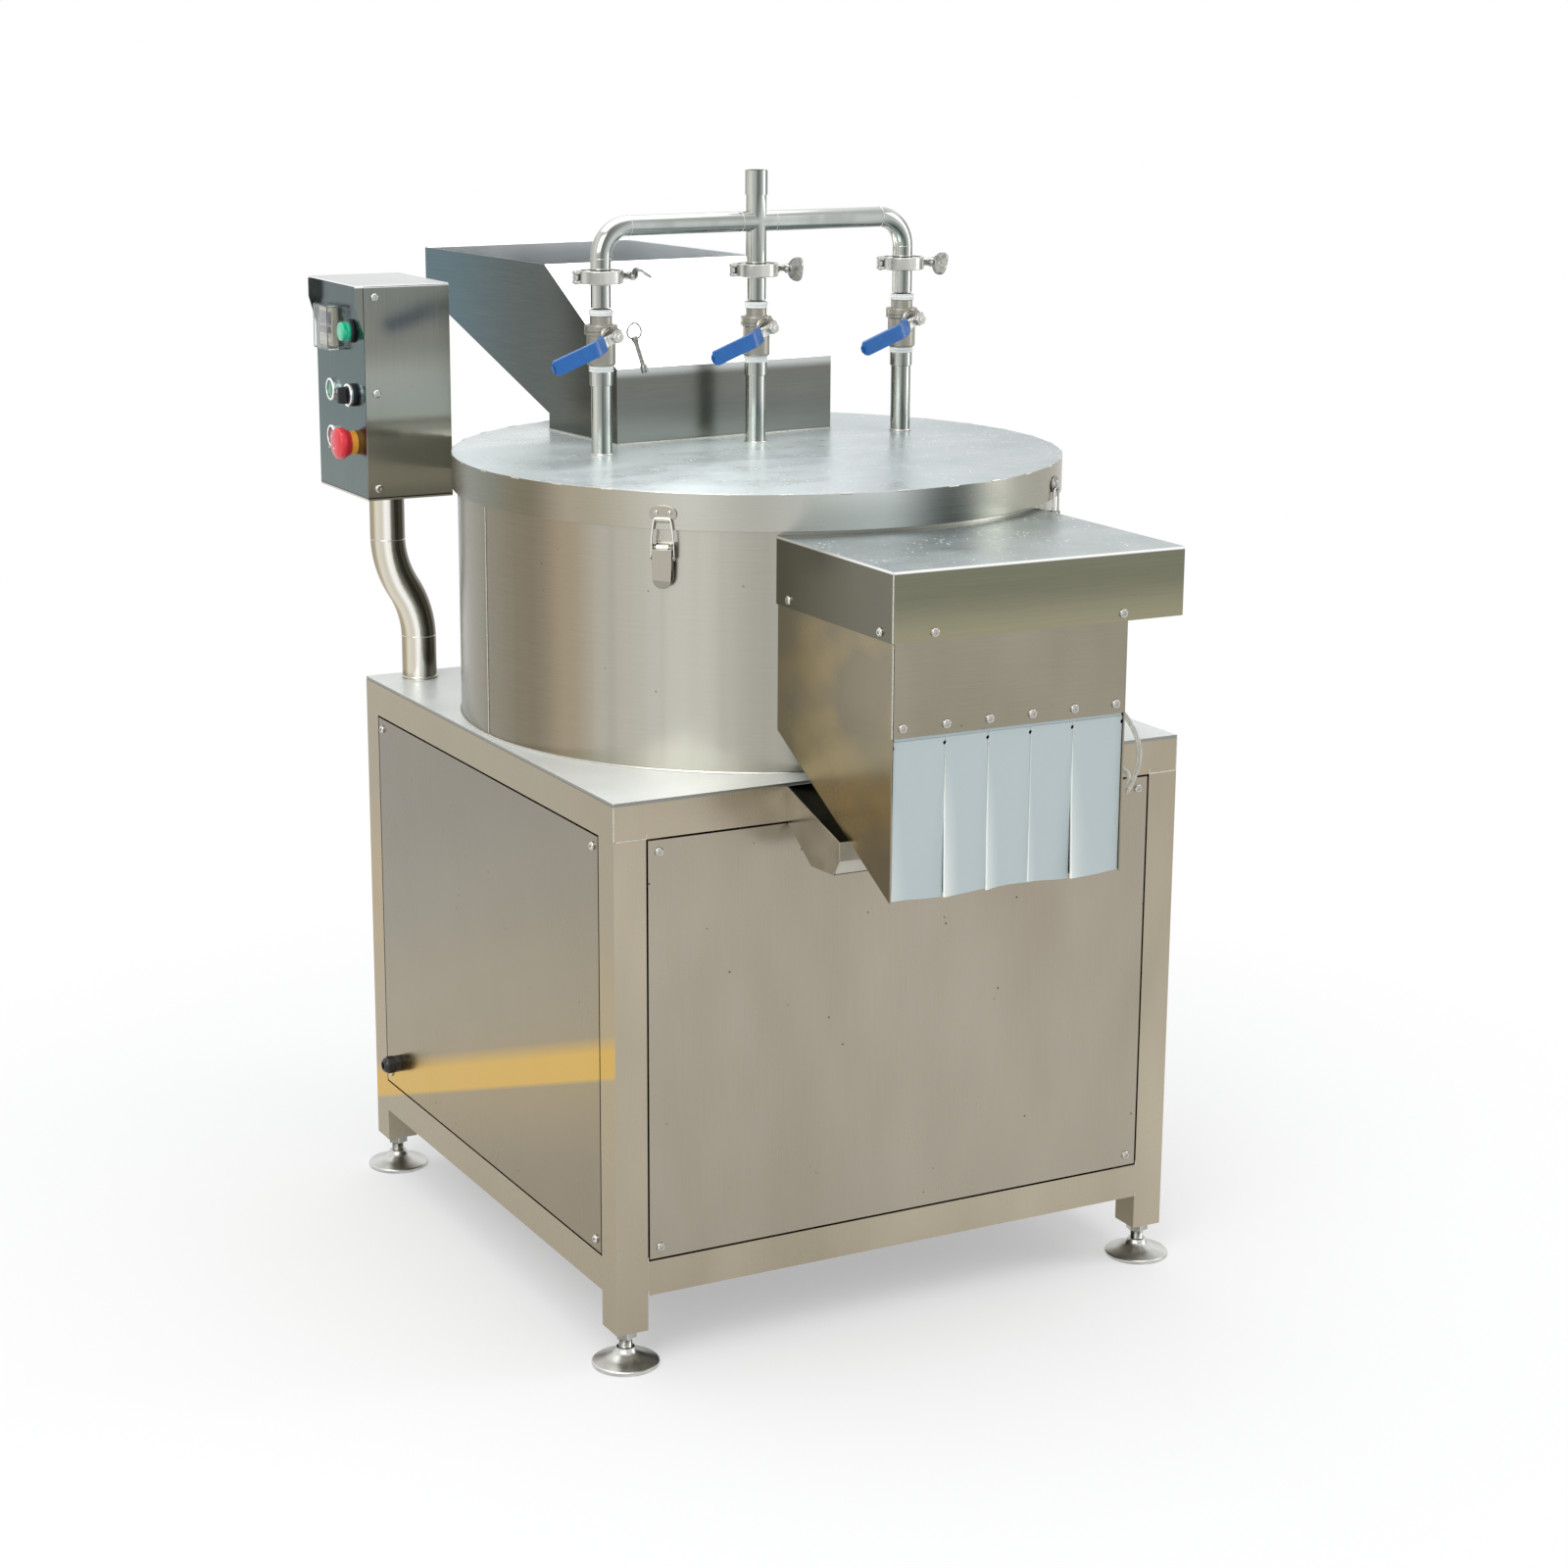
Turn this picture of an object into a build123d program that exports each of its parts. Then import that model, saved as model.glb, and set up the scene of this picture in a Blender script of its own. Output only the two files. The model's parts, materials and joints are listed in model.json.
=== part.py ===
"""Free-standing drum peeler for potatoes and root vegetables.

Millimetres, +Z up.  The machine is modelled about the drum's axis, with the floor at z = 0 and the front (the
discharge chute) towards -Y, and is moved at export so that the origin is the bottom centre of its outline.
"""

import math
import os

from build123d import *

# ---------------------------------------------------------------- leading sizes
DRUM_R = 371.0           # outside of the drum
DRUM_H = 322.5
CABINET_H = 680.0        # floor to the upper face of the top plate
CHUTE_W = 301.0

# ---------------------------------------------------------------- cabinet
SIDE_LEDGE = 8.0         # drum to the posts' outer faces, left and right
END_LEDGE = 11.5         # drum to the posts' outer faces, front and back
FOOT_H = 45.0            # floor to the lower ends of the posts
POST = 40.0              # square tube
TUBE_WALL = 2.0
END_PLATE_T = 5.0
TOP_PLATE_T = 4.0
TOP_RAIL_H = 41.0
BOTTOM_RAIL_H = 42.0
BOTTOM_RAIL_LIFT = 43.0  # lower ends of the posts to the bottom rails
PANEL_T = 1.5
PANEL_GAP = 2.5          # black line round each panel
PANEL_RETURN = 14.0      # depth of the folded edge
PANEL_SCREW_INSET = 16.0
STRIP_W = 26.0           # strips behind the panels that take their screws
STRIP_T = 3.0

# ---------------------------------------------------------------- feet
FOOT_DISC_R = 40.0
FOOT_DISC_H = 22.0
FOOT_RIM_H = 3.0
FOOT_HUB_R = 11.0
STUD_R = 8.0
STUD_IN_POST = 20.0
NUT_AF = 24.0
NUT_H = 11.0

# ---------------------------------------------------------------- button-head screws
SCREW_HEAD_R = 5.25
SCREW_HEAD_H = 3.0
SCREW_R = 3.0
SOCKET_AF = 4.0
SOCKET_DEPTH = 1.8

# ---------------------------------------------------------------- drum and disc
DRUM_WALL = 2.0
LINING_T = 3.0
LINING_LOW = 40.0
LINING_MARGIN = 22.5     # drum's rim to the lining
DISC_GAP = 4.0           # abrasive disc to lining
DISC_LOW = 36.0          # top plate to the disc's underside
DISC_T = 14.0
WAVE_COUNT = 3
WAVE_H = 12.0
WAVE_W = 70.0
HUB_R = 44.0
HUB_H = 8.0
CAP_R = 24.0
CAP_H = 14.0
PADDLE_T = 8.0
PADDLE_CLEAR = 4.0       # paddle to top plate
SHAFT_R = 20.0
RUN_FIT = 0.05           # radial clearance of a shaft in its bearing

# ---------------------------------------------------------------- bearing housing
HOUSING_R = 52.0
HOUSING_FLANGE_R = 90.0
HOUSING_FLANGE_T = 12.0
HOUSING_LIFT = 13.0      # bracket's shelf to the housing's lower end
NECK_R = 45.0
NECK_H = 24.0            # above the top plate
BEARING_R = 40.0
BEARING_T = 18.0
SEAL_R = 30.0
SEAL_T = 10.0
HOUSING_BORE = 32.0
SEAT_LIP = 6.0

# ---------------------------------------------------------------- drive
MOTOR_INSET = 147.5      # back of the cabinet to the motor's axis
MOTOR_R = 92.0
MOTOR_FLANGE_R = 100.0
MOTOR_LEN = 290.0
FAN_COWL_H = 42.0
MOTOR_SHAFT_R = 14.0
BRACKET_T = 8.0
BRACKET_W = 240.0
BRACKET_D = 214.0
MOTOR_HEADROOM = 28.0    # fan cowl to the top plate's upper face
PULLEY_DROP = 12.0       # shelf's underside to the pulleys
PULLEY_H = 46.0
DRIVEN_R = 140.0
DRIVER_R = 50.0
BELT_W = 13.0
BELT_H = 8.0
BELT_PITCH = 20.0
BELT_CLEAR = 0.3
BELT_SEAT = 1.0          # belts stand below the pulleys' rims

# ---------------------------------------------------------------- lid
LID_GAP = 5.0            # drum to the skirt's inside
LID_T = 2.0
SKIRT_H = 43.0
LID_REST = 0.3           # lid to drum rim
LID_TURN = 5.0           # the fittings on the lid are turned about the drum's axis

# ---------------------------------------------------------------- hopper, in the lid's own turned directions
HOPPER_X = 27.0
HOPPER_W = 321.0
SHEET = 2.0
NECK_MARGIN = 81.0       # drum's radius to the neck's back
NECK_D = 175.0
NECK_TOP = 94.0
NECK_LOW_BACK = 21.0
MOUTH_STEP = 8.0         # neck's back to the mouth's front
MOUTH_D = 337.0
MOUTH_TOP = 211.0
HOPPER_BACK_LOW = 150.0

# ---------------------------------------------------------------- spray pipework
PIPE_R = 12.7
PIPE_WALL = 1.5
PIPE_X = 33.0            # middle pipe
PIPE_Y = 55.0
PIPE_PITCH = 223.0
HEADER_Z = 274.5         # lid to the header's centre line
ELBOW_R = 38.0
INLET_TOP = 337.0
INLET_SOCKET_R = 14.0
INLET_SOCKET_H = 30.0
INLET_BORE_R = 12.2
INLET_BORE_H = 22.0
FERRULE_R = 25.2
FERRULE_T = 6.0
FERRULE_Z = 215.0        # lid to the joint between the ferrules
GASKET_T = 2.0
CLAMP_R = 28.0
CLAMP_H = 16.0
CLAMP_SLOT = 8.0
CLAMP_BOLT_R = 2.5
CLAMP_BOLT_OUT = 5.2     # clamp ring to the bolt's axis
CLAMP_BOLT_L = 25.0
CLAMP_EAR_IN = 3.0       # ears start inside the ring by this much
CLAMP_SPLIT = 1.0        # half the gap between the two halves
WING_BOSS_R = 5.5
WING_HALF_T = 3.0
WING_HALF_H = 14.0
VALVE_Z = 146.0          # lid to the valve stem
VALVE_R = 19.5
VALVE_H = 46.0
VALVE_HEX_AF = 34.0
VALVE_HEX_H = 9.0
VALVE_ROUND = 4.0
BONNET_OUT = 9.0         # valve body to the bonnet's face
BONNET_WALL = 4.0
SLEEVE_R = 16.5
SLEEVE_H = 14.0
STEM_R = 5.0
STEM_OUT = 36.0          # pipe axis to the lever's plane
LEVER_LEN = 96.0
LEVER_W = 17.0
LEVER_T = 2.5
LEVER_REST = 19.5        # lever below level at rest
LEVER_HEEL = 9.0         # stem to the lever's blunt end
LEVER_CRANK = 12.0       # offset between the lever's plate and its tail
LEVER_NUT_R = 7.5
LEVER_NUT_H = 7.0
STEM_PROUD = 3.0
GRIP_LEN = 62.0
GRIP_T = 6.0
GRIP_WALL = 1.5
GRIP_TIP = 4.0           # grip past the lever's end
NOZZLE_R = 17.0
NOZZLE_H = 26.0

# ---------------------------------------------------------------- spare key on the left clamp
KEY_RING_R = 9.5
KEY_RING_WIRE = 0.9
KEY_LEN = 34.0
KEY_R = 2.4
STRING_R = 0.8
STRING_DROP = 54.0       # bolt to the middle of the key ring

# ---------------------------------------------------------------- toggle latches
LATCH_FRONT = 44.0       # either side of the front
LATCH_BACK = 30.0        # either side of the back
LATCH_PIVOT_DROP = 60.5  # drum's rim to the lever's pivot
LATCH_PIVOT_OUT = 9.0    # from the drum
LATCH_THROW = 12.0       # lever pivot to bail pivot
LATCH_PIN_R = 2.0
LATCH_WIRE_R = 1.25
BAIL_LEN = 45.0
BAIL_HALF_W = 14.2
LEVER_HALF_W = 12.0
LATCH_LEVER_LEN = 55.0
LATCH_SHEET = 1.5
LATCH_CHANNEL = 3.2      # pivot to the lever's plate
LATCH_EAR_R = 2.6
LATCH_WIRE_GAP = 0.5     # bail to keeper
BASE_HALF_W = 10.0
BASE_H = 44.0
KEEPER_HALF_W = 16.0
KEEPER_H = 20.0
KEEPER_LEDGE = 2.5
KEEPER_LEDGE_HALF = 9.0
KEEPER_GAP = 1.6         # lets the bail swing off the ledge while the lid starts to lift
RIVET_R = 2.6
RIVET_H = 1.2
PIN_FIT = 0.06

# ---------------------------------------------------------------- discharge chute
CHUTE_REACH = 228.5      # drum to the front plate
CHUTE_TIP_LOW = 89.0     # tip below the top plate
CHUTE_SILL = 52.0        # floor where it meets the drum, above the top plate
CHUTE_DROP = 47.5        # drum's rim to the chute's top
FRONT_PLATE_LOW = 94.5
COVER_T = 2.0
COVER_SKIRT = 78.0
COVER_OVERHANG = 72.0    # past the chute's right wall
COVER_FIT = 0.3
CURTAIN_T = 3.0
CURTAIN_MARGIN = 13.0    # chute's side to the first curtain screw
FLAP_GAP = 0.8
FLAP_COUNT = 5
BAND_H = 34.0
FLAP_TOP = 91.0          # slits end here, above the top plate
FLAP_LOW = 88.0          # flaps end here, below the top plate
FLAP_SIDE_GAP = 1.5
FLAP_BACK_GAP = 1.0      # flaps to the end of the chute's floor
CURTAIN_SCREW_Z = 105.5
COVER_SCREW_DROP = 67.0  # chute's top to the cover's screws

# ---------------------------------------------------------------- discharge door
OPENING_MARGIN = 12.5    # chute's side to the opening
OPENING_LOW = 56.0
OPENING_HIGH = 150.0
DOOR_GAP = 1.5           # drum to door
DOOR_T = 3.0
DOOR_MARGIN = 5.5        # chute's side to the door
DOOR_LAP_LOW = 3.2       # door past the opening, below
DOOR_LAP_HIGH = 6.0
DOOR_HEADROOM = 19.0     # open door to the chute's top
GUIDE_W = 8.0
GUIDE_T = 4.0
ARM_H = 30.0
ARM_T = 6.0
ARM_LOW = 118.0
ARM_INNER_X = 45.0
ARM_OUT = 39.0           # drum to the arm and the cylinder's axis
ARM_SLOT_CLEAR = 3.0
LUG_W = 24.0

# ---------------------------------------------------------------- air cylinder
CYL_OUT = 39.5           # chute's side to the cylinder's axis
CYL_R = 20.0
CYL_WAIST = 2.0          # barrel below the end caps
CYL_TOP = 101.0
CYL_LEN = 160.0
HEAD_H = 42.0
ROD_R = 6.0
SHELF_T = 6.0
SHELF_HALF_D = 22.0
FITTING_R = 6.0
FITTING_L = 16.0
PORT_HIGH = 92.0
PORT_STEP = 20.0
HOSE_R = 3.0
HOSE_LOOP = 100.0        # unit of the hoses' routes
BULKHEAD_OUT = 60.0      # cylinder's axis to the first bulkhead
BULKHEAD_STEP = 25.0
BULKHEAD_DROP = 22.0     # below the top plate
BULKHEAD_L = 14.0

# ---------------------------------------------------------------- waste spout
SPOUT_SIDE = 10.5        # spout past the chute's side
SPOUT_SHEET = 2.0
SPOUT_REACH = 122.5      # cabinet's front to the lip
SPOUT_LIP_HIGH = 41.0    # below the top plate
SPOUT_LIP_LOW = 63.0
SPOUT_TOE_OUT = 109.5    # cabinet's front to the toe
SPOUT_TOE_Z = 82.0
SPOUT_HEEL_OUT = 58.5    # cabinet's front to the heel
SPOUT_HEEL_Z = 84.0
SPOUT_INNER = 49.0       # drum's radius to the spout's inner end
DRAIN_SIDE = 11.0        # spout's side to the drain's
DRAIN_INNER = 46.0       # drum's radius to the drain's inner edge

# ---------------------------------------------------------------- control box on its stand
STAND_R = 22.5
STAND_INSET_X = 60.4     # cabinet's left side to the tube's axis
STAND_INSET_Y = 37.8     # cabinet's back to the tube's axis
STAND_SHIFT = 40.0       # the S-bend carries the box this much to the left
STAND_LOW = 57.0
STAND_HIGH = 187.0
BOX_W = 114.0
BOX_D = 172.0
BOX_LOW = 251.0
BOX_H = 268.5
BOX_SHEET = 1.5
HOOD_OVERHANG = 10.0
HOOD_CHEEK = 26.0
HOOD_SLOPE = 34.0
SIDE_COVER_GAP = 0.5
COLUMN_NEAR = 44.0       # panel columns, from the box's near side
COLUMN_FAR = 115.0
ROW_TOP = 209.0          # panel rows, from the box's bottom
ROW_MID = 129.0
ROW_LOW = 69.0
BUTTON_R = 11.0
BEZEL_R = 14.75
BEZEL_T = 5.0
BUTTON_PROUD = 2.0
BUTTON_FIT = 0.08
BUTTON_STEM = 18.0
SELECTOR_T = 9.0
SELECTOR_GRIP_L = 22.0
SELECTOR_GRIP_W = 7.0
SELECTOR_GRIP_H = 9.0
ESTOP_R = 20.0
ESTOP_CAP_T = 13.0
ESTOP_COLLAR_R = 15.0
ESTOP_COLLAR_T = 12.0
ESTOP_STEM_R = 8.0
ESTOP_TRAVEL = 6.0
LAMP_LENS_R = 12.0
LAMP_LENS_T = 11.0
TIMER_W = 44.0
TIMER_H = 48.0
TIMER_T = 9.0
TIMER_COVER_W = 50.0
TIMER_COVER_H = 56.0
TIMER_COVER_T = 16.0
TIMER_COVER_WALL = 1.6

# ---------------------------------------------------------------- mains gland
GLAND_INSET = 87.1       # cabinet's back to the gland
GLAND_Z = 169.0
GLAND_R = 12.0
GLAND_OUT = 24.0
GLAND_BORE = 5.0

# ---------------------------------------------------------------- worked out
TOP = CABINET_H
CABINET_W = 2 * (DRUM_R + SIDE_LEDGE)
CABINET_D = 2 * (DRUM_R + END_LEDGE)
RAIL_HIGH = TOP - TOP_PLATE_T
RAIL_LOW = RAIL_HIGH - TOP_RAIL_H
HALF_W = CABINET_W / 2
HALF_D = CABINET_D / 2
BOTTOM_RAIL_LOW = FOOT_H + BOTTOM_RAIL_LIFT
BOTTOM_RAIL_HIGH = BOTTOM_RAIL_LOW + BOTTOM_RAIL_H
LID_R = DRUM_R + LID_GAP + LID_T
LID_HIGH = TOP + DRUM_H + LID_REST + LID_T
LINING_HIGH = DRUM_H - LINING_MARGIN
LINING_R = DRUM_R - DRUM_WALL - LINING_T
DISC_R = LINING_R - DISC_GAP
DISC_HIGH = DISC_LOW + DISC_T
MOTOR_OFFSET = HALF_D - MOTOR_INSET
BRACKET_DEPTH = MOTOR_LEN + MOTOR_HEADROOM
HOUSING_LOW = BRACKET_DEPTH - HOUSING_LIFT
SHELF_LOW = TOP - BRACKET_DEPTH - BRACKET_T
PULLEY_HIGH = SHELF_LOW - PULLEY_DROP
PULLEY_LOW = PULLEY_HIGH - PULLEY_H
SKIRT_LOW = LID_HIGH - SKIRT_H
NECK_BACK = DRUM_R - NECK_MARGIN
NECK_FRONT = NECK_BACK - NECK_D
MOUTH_FRONT = NECK_BACK + MOUTH_STEP
MOUTH_BACK = MOUTH_FRONT + MOUTH_D
PIPE_XS = [PIPE_X - PIPE_PITCH, PIPE_X, PIPE_X + PIPE_PITCH]
CHUTE_FRONT = DRUM_R + CHUTE_REACH
CHUTE_TOP = DRUM_H - CHUTE_DROP
COVER_SCREW_Z = CHUTE_TOP - COVER_SCREW_DROP
FLAP_PITCH = (CHUTE_W - 2 * CURTAIN_MARGIN) / FLAP_COUNT
OPENING_HALF_W = CHUTE_W / 2 - OPENING_MARGIN
DOOR_HALF_W = CHUTE_W / 2 - DOOR_MARGIN
DOOR_LOW = OPENING_LOW - DOOR_LAP_LOW
DOOR_HIGH = OPENING_HIGH + DOOR_LAP_HIGH
DOOR_TRAVEL = CHUTE_TOP - DOOR_HEADROOM - DOOR_HIGH
ARM_Y = DRUM_R + ARM_OUT
CYL_X = CHUTE_W / 2 + CYL_OUT
BULKHEAD_X = CYL_X + BULKHEAD_OUT
SPOUT_W = CHUTE_W + 2 * SPOUT_SIDE
SPOUT_INNER_Y = DRUM_R - SPOUT_INNER
SPOUT_LIP_Y = HALF_D + SPOUT_REACH
SPOUT_TOE_Y = HALF_D + SPOUT_TOE_OUT
SPOUT_HEEL_Y = HALF_D + SPOUT_HEEL_OUT
DRAIN_HALF_W = SPOUT_W / 2 - DRAIN_SIDE
DRAIN_INNER_Y = DRUM_R - DRAIN_INNER
LATCH_PIVOT_Z = DRUM_H - LATCH_PIVOT_DROP
GLAND_Y = HALF_D - GLAND_INSET
STAND_X = HALF_W - STAND_INSET_X
STAND_Y = HALF_D - STAND_INSET_Y
STAND_TOP_X = -STAND_X - STAND_SHIFT
BOX_LEFT = STAND_TOP_X - BOX_W / 2
BOX_RIGHT = BOX_LEFT + BOX_W
BOX_NEAR = STAND_Y - BOX_D / 2
BOX_FAR = BOX_NEAR + BOX_D
BOX_BOTTOM = TOP + BOX_LOW
BOX_TOP = BOX_BOTTOM + BOX_H
CURTAIN_BACK = -CHUTE_FRONT + SHEET + CURTAIN_T
LATCH_ANGLES = [-90 - LATCH_FRONT, -90 + LATCH_FRONT, 90 - LATCH_BACK, 90 + LATCH_BACK]
EPS = 1.0                # how far a cutting tool reaches past the face it cuts

NODES = {}


def block(x0, x1, y0, y1, z0, z1):
    """Box between two corners."""
    size = Box(x1 - x0, y1 - y0, z1 - z0)
    return Pos((x0 + x1) / 2, (y0 + y1) / 2, (z0 + z1) / 2) * size


def rod(radius, start, end):
    """Round bar between two points."""
    start = Vector(*start)
    end = Vector(*end)
    along = end - start
    plane = Plane(origin=start, z_dir=along)
    return extrude(plane * Circle(radius), amount=along.length)


def ring_z(outer, inner, z0, z1, x=0.0, y=0.0):
    """Upright tube."""
    return Pos(x, y, z0) * extrude(Circle(outer) - Circle(inner), amount=z1 - z0)


def disc_z(radius, z0, z1, x=0.0, y=0.0):
    """Upright cylinder."""
    return Pos(x, y, z0) * extrude(Circle(radius), amount=z1 - z0)


def side_prism(points, x0, x1):
    """Outline in (y, z), extruded along X from x0 to x1."""
    outline = make_face(Polyline(*points, close=True))
    return extrude(Plane.YZ.offset(x0) * outline, amount=x1 - x0)


def plan_prism(points, z0, z1):
    """Outline in (x, y), extruded up from z0 to z1."""
    outline = make_face(Polyline(*points, close=True))
    return Pos(0, 0, z0) * extrude(outline, amount=z1 - z0)


def group(solids):
    """Separate solids that share one node."""
    flat = []
    for item in solids:
        flat += item.solids()
    return Compound(children=flat)


def on_lid(shape):
    """Turn a piece of the lid's fittings about the drum's axis."""
    return Rot(0, 0, LID_TURN) * shape


def add(name, shape):
    """Keep a node for export."""
    NODES[name] = shape


def button_screw(head, inward, length):
    """Button-head screw: the head's seat is at head, and the shank runs along inward."""
    seat = Vector(*head)
    into = Vector(*inward).normalized()
    out = into * -1
    plane = Plane(origin=seat, z_dir=out)
    cap = plane * extrude(Circle(SCREW_HEAD_R), amount=SCREW_HEAD_H)
    cap = fillet(cap.faces().sort_by(Axis(seat, out)).last.edges(), SCREW_HEAD_H * 0.7)
    socket_plane = Plane(origin=seat + out * SCREW_HEAD_H, z_dir=into)
    socket = socket_plane * extrude(RegularPolygon(SOCKET_AF / 2, 6, major_radius=False), amount=SOCKET_DEPTH)
    shank = plane * Pos(0, 0, -length) * extrude(Circle(SCREW_R), amount=length)
    return (cap - socket) + shank


# ================================================================ cabinet
def make_post(side_x, side_y):
    """Corner post of square tube, closed below by a plate that takes the foot's stud."""
    x0 = side_x * HALF_W - (POST if side_x > 0 else 0)
    y0 = side_y * HALF_D - (POST if side_y > 0 else 0)
    tube = block(x0, x0 + POST, y0, y0 + POST, FOOT_H, RAIL_LOW)
    inside = block(x0 + TUBE_WALL, x0 + POST - TUBE_WALL, y0 + TUBE_WALL, y0 + POST - TUBE_WALL,
                   FOOT_H + END_PLATE_T, RAIL_LOW + EPS)
    hole = disc_z(STUD_R, FOOT_H - EPS, FOOT_H + END_PLATE_T + EPS, x0 + POST / 2, y0 + POST / 2)
    return tube - inside - hole


def mitred_rail(half_long, half_across):
    """Top rail along X at the -Y side of a ring, mitred at both ends."""
    outer = [(-half_long, -half_across), (half_long, -half_across),
             (half_long - POST, -half_across + POST), (-half_long + POST, -half_across + POST)]
    bar = plan_prism(outer, RAIL_LOW, RAIL_HIGH)
    bore = block(-half_long - EPS, half_long + EPS, -half_across + TUBE_WALL, -half_across + POST - TUBE_WALL,
                 RAIL_LOW + TUBE_WALL, RAIL_HIGH - TUBE_WALL)
    return bar - bore


def make_top_rails():
    """Ring of four mitred rails; the front one is parted where the waste spout passes."""
    gap = block(-SPOUT_W / 2, SPOUT_W / 2, -HALF_D - EPS, -HALF_D + POST + EPS, RAIL_LOW - EPS, RAIL_HIGH + EPS)
    front = mitred_rail(HALF_W, HALF_D) - gap
    back = Rot(0, 0, 180) * mitred_rail(HALF_W, HALF_D)
    right = Rot(0, 0, 90) * mitred_rail(HALF_D, HALF_W)
    left = Rot(0, 0, -90) * mitred_rail(HALF_D, HALF_W)
    return [front, back, right, left]


def make_bottom_rails():
    """Four lower rails between the posts."""
    rails = []
    for side in (-1, 1):
        y0 = side * HALF_D - (POST if side > 0 else 0)
        bar = block(-HALF_W + POST, HALF_W - POST, y0, y0 + POST, BOTTOM_RAIL_LOW, BOTTOM_RAIL_HIGH)
        bore = block(-HALF_W, HALF_W, y0 + TUBE_WALL, y0 + POST - TUBE_WALL,
                     BOTTOM_RAIL_LOW + TUBE_WALL, BOTTOM_RAIL_HIGH - TUBE_WALL)
        rails.append(bar - bore)
        x0 = side * HALF_W - (POST if side > 0 else 0)
        bar = block(x0, x0 + POST, -HALF_D + POST, HALF_D - POST, BOTTOM_RAIL_LOW, BOTTOM_RAIL_HIGH)
        bore = block(x0 + TUBE_WALL, x0 + POST - TUBE_WALL, -HALF_D, HALF_D,
                     BOTTOM_RAIL_LOW + TUBE_WALL, BOTTOM_RAIL_HIGH - TUBE_WALL)
        rails.append(bar - bore)
    return rails


def make_strips():
    """Upright strips behind the panels' edges, welded to the posts."""
    strips = []
    z0 = BOTTOM_RAIL_HIGH
    z1 = RAIL_LOW
    for sx in (-1, 1):
        for sy in (-1, 1):
            x_in = sx * (HALF_W - POST)
            y_in = sy * (HALF_D - POST)
            y_face = sy * (HALF_D - PANEL_RETURN)
            x_face = sx * (HALF_W - PANEL_RETURN)
            xs = sorted((x_in, x_in - sx * STRIP_W))
            ys = sorted((y_face, y_face - sy * STRIP_T))
            strips.append(block(xs[0], xs[1], ys[0], ys[1], z0, z1))
            xs = sorted((x_face, x_face - sx * STRIP_T))
            ys = sorted((y_in, y_in - sy * STRIP_W))
            strips.append(block(xs[0], xs[1], ys[0], ys[1], z0, z1))
    return strips


def panel_screw_points(half_open):
    """Positions along a panel's face of its four screws, as (along, z)."""
    along = half_open - PANEL_SCREW_INSET
    low = BOTTOM_RAIL_HIGH + PANEL_SCREW_INSET
    high = RAIL_LOW - PANEL_SCREW_INSET
    return [(-along, low), (along, low), (-along, high), (along, high)]


def make_cabinet():
    """Welded frame, top plate, four screwed panels and their screws."""
    posts = [make_post(sx, sy) for sx in (-1, 1) for sy in (-1, 1)]
    frame = group(posts + make_top_rails() + make_bottom_rails())
    holes = []
    strips = group(make_strips())
    for sy in (-1, 1):
        for along, z in panel_screw_points(HALF_W - POST):
            holes.append(rod(SCREW_R, (along, sy * HALF_D, z), (along, sy * (HALF_D - POST), z)))
    for sx in (-1, 1):
        for along, z in panel_screw_points(HALF_D - POST):
            holes.append(rod(SCREW_R, (sx * HALF_W, along, z), (sx * (HALF_W - POST), along, z)))
    strips = strips - holes
    add("cabinet_frame", group([frame, strips]))

    drain = block(-DRAIN_HALF_W, DRAIN_HALF_W, -DRUM_R, -DRAIN_INNER_Y, TOP - 2 * TOP_PLATE_T, TOP + EPS)
    drain = drain & disc_z(DRUM_R - 2 * DRUM_WALL, TOP - 2 * TOP_PLATE_T, TOP + EPS)
    plate = block(-HALF_W, HALF_W, -HALF_D, HALF_D, RAIL_HIGH, TOP)
    plate = plate - drain - disc_z(NECK_R, RAIL_HIGH - EPS, TOP + EPS)
    add("top_plate", plate)

    x_open = HALF_W - POST - PANEL_GAP
    y_open = HALF_D - POST - PANEL_GAP
    z0 = BOTTOM_RAIL_HIGH + PANEL_GAP
    z1 = RAIL_LOW - PANEL_GAP
    front = block(-x_open, x_open, -HALF_D, -HALF_D + PANEL_RETURN, z0, z1)
    front = front - block(-x_open + PANEL_T, x_open - PANEL_T, -HALF_D + PANEL_T, -HALF_D + PANEL_RETURN + EPS,
                          z0 + PANEL_T, z1 - PANEL_T)
    side = block(-HALF_W, -HALF_W + PANEL_RETURN, -y_open, y_open, z0, z1)
    side = side - block(-HALF_W + PANEL_T, -HALF_W + PANEL_RETURN + EPS, -y_open + PANEL_T, y_open - PANEL_T,
                        z0 + PANEL_T, z1 - PANEL_T)
    gland_hole = rod(GLAND_R * 0.75, (-HALF_W - EPS, GLAND_Y, GLAND_Z), (-HALF_W + PANEL_RETURN, GLAND_Y, GLAND_Z))
    add("front_panel", front - holes)
    add("rear_panel", Rot(0, 0, 180) * front - holes)
    add("left_panel", side - holes - gland_hole)
    add("right_panel", Rot(0, 0, 180) * side - holes)


def make_panel_screws():
    """Four button-head screws to each cabinet panel."""
    screws = []
    length = PANEL_RETURN + STRIP_T
    for sy in (-1, 1):
        for along, z in panel_screw_points(HALF_W - POST):
            screws.append(button_screw((along, sy * HALF_D, z), (0, -sy, 0), length))
    for sx in (-1, 1):
        for along, z in panel_screw_points(HALF_D - POST):
            screws.append(button_screw((sx * HALF_W, along, z), (-sx, 0, 0), length))
    return screws


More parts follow.
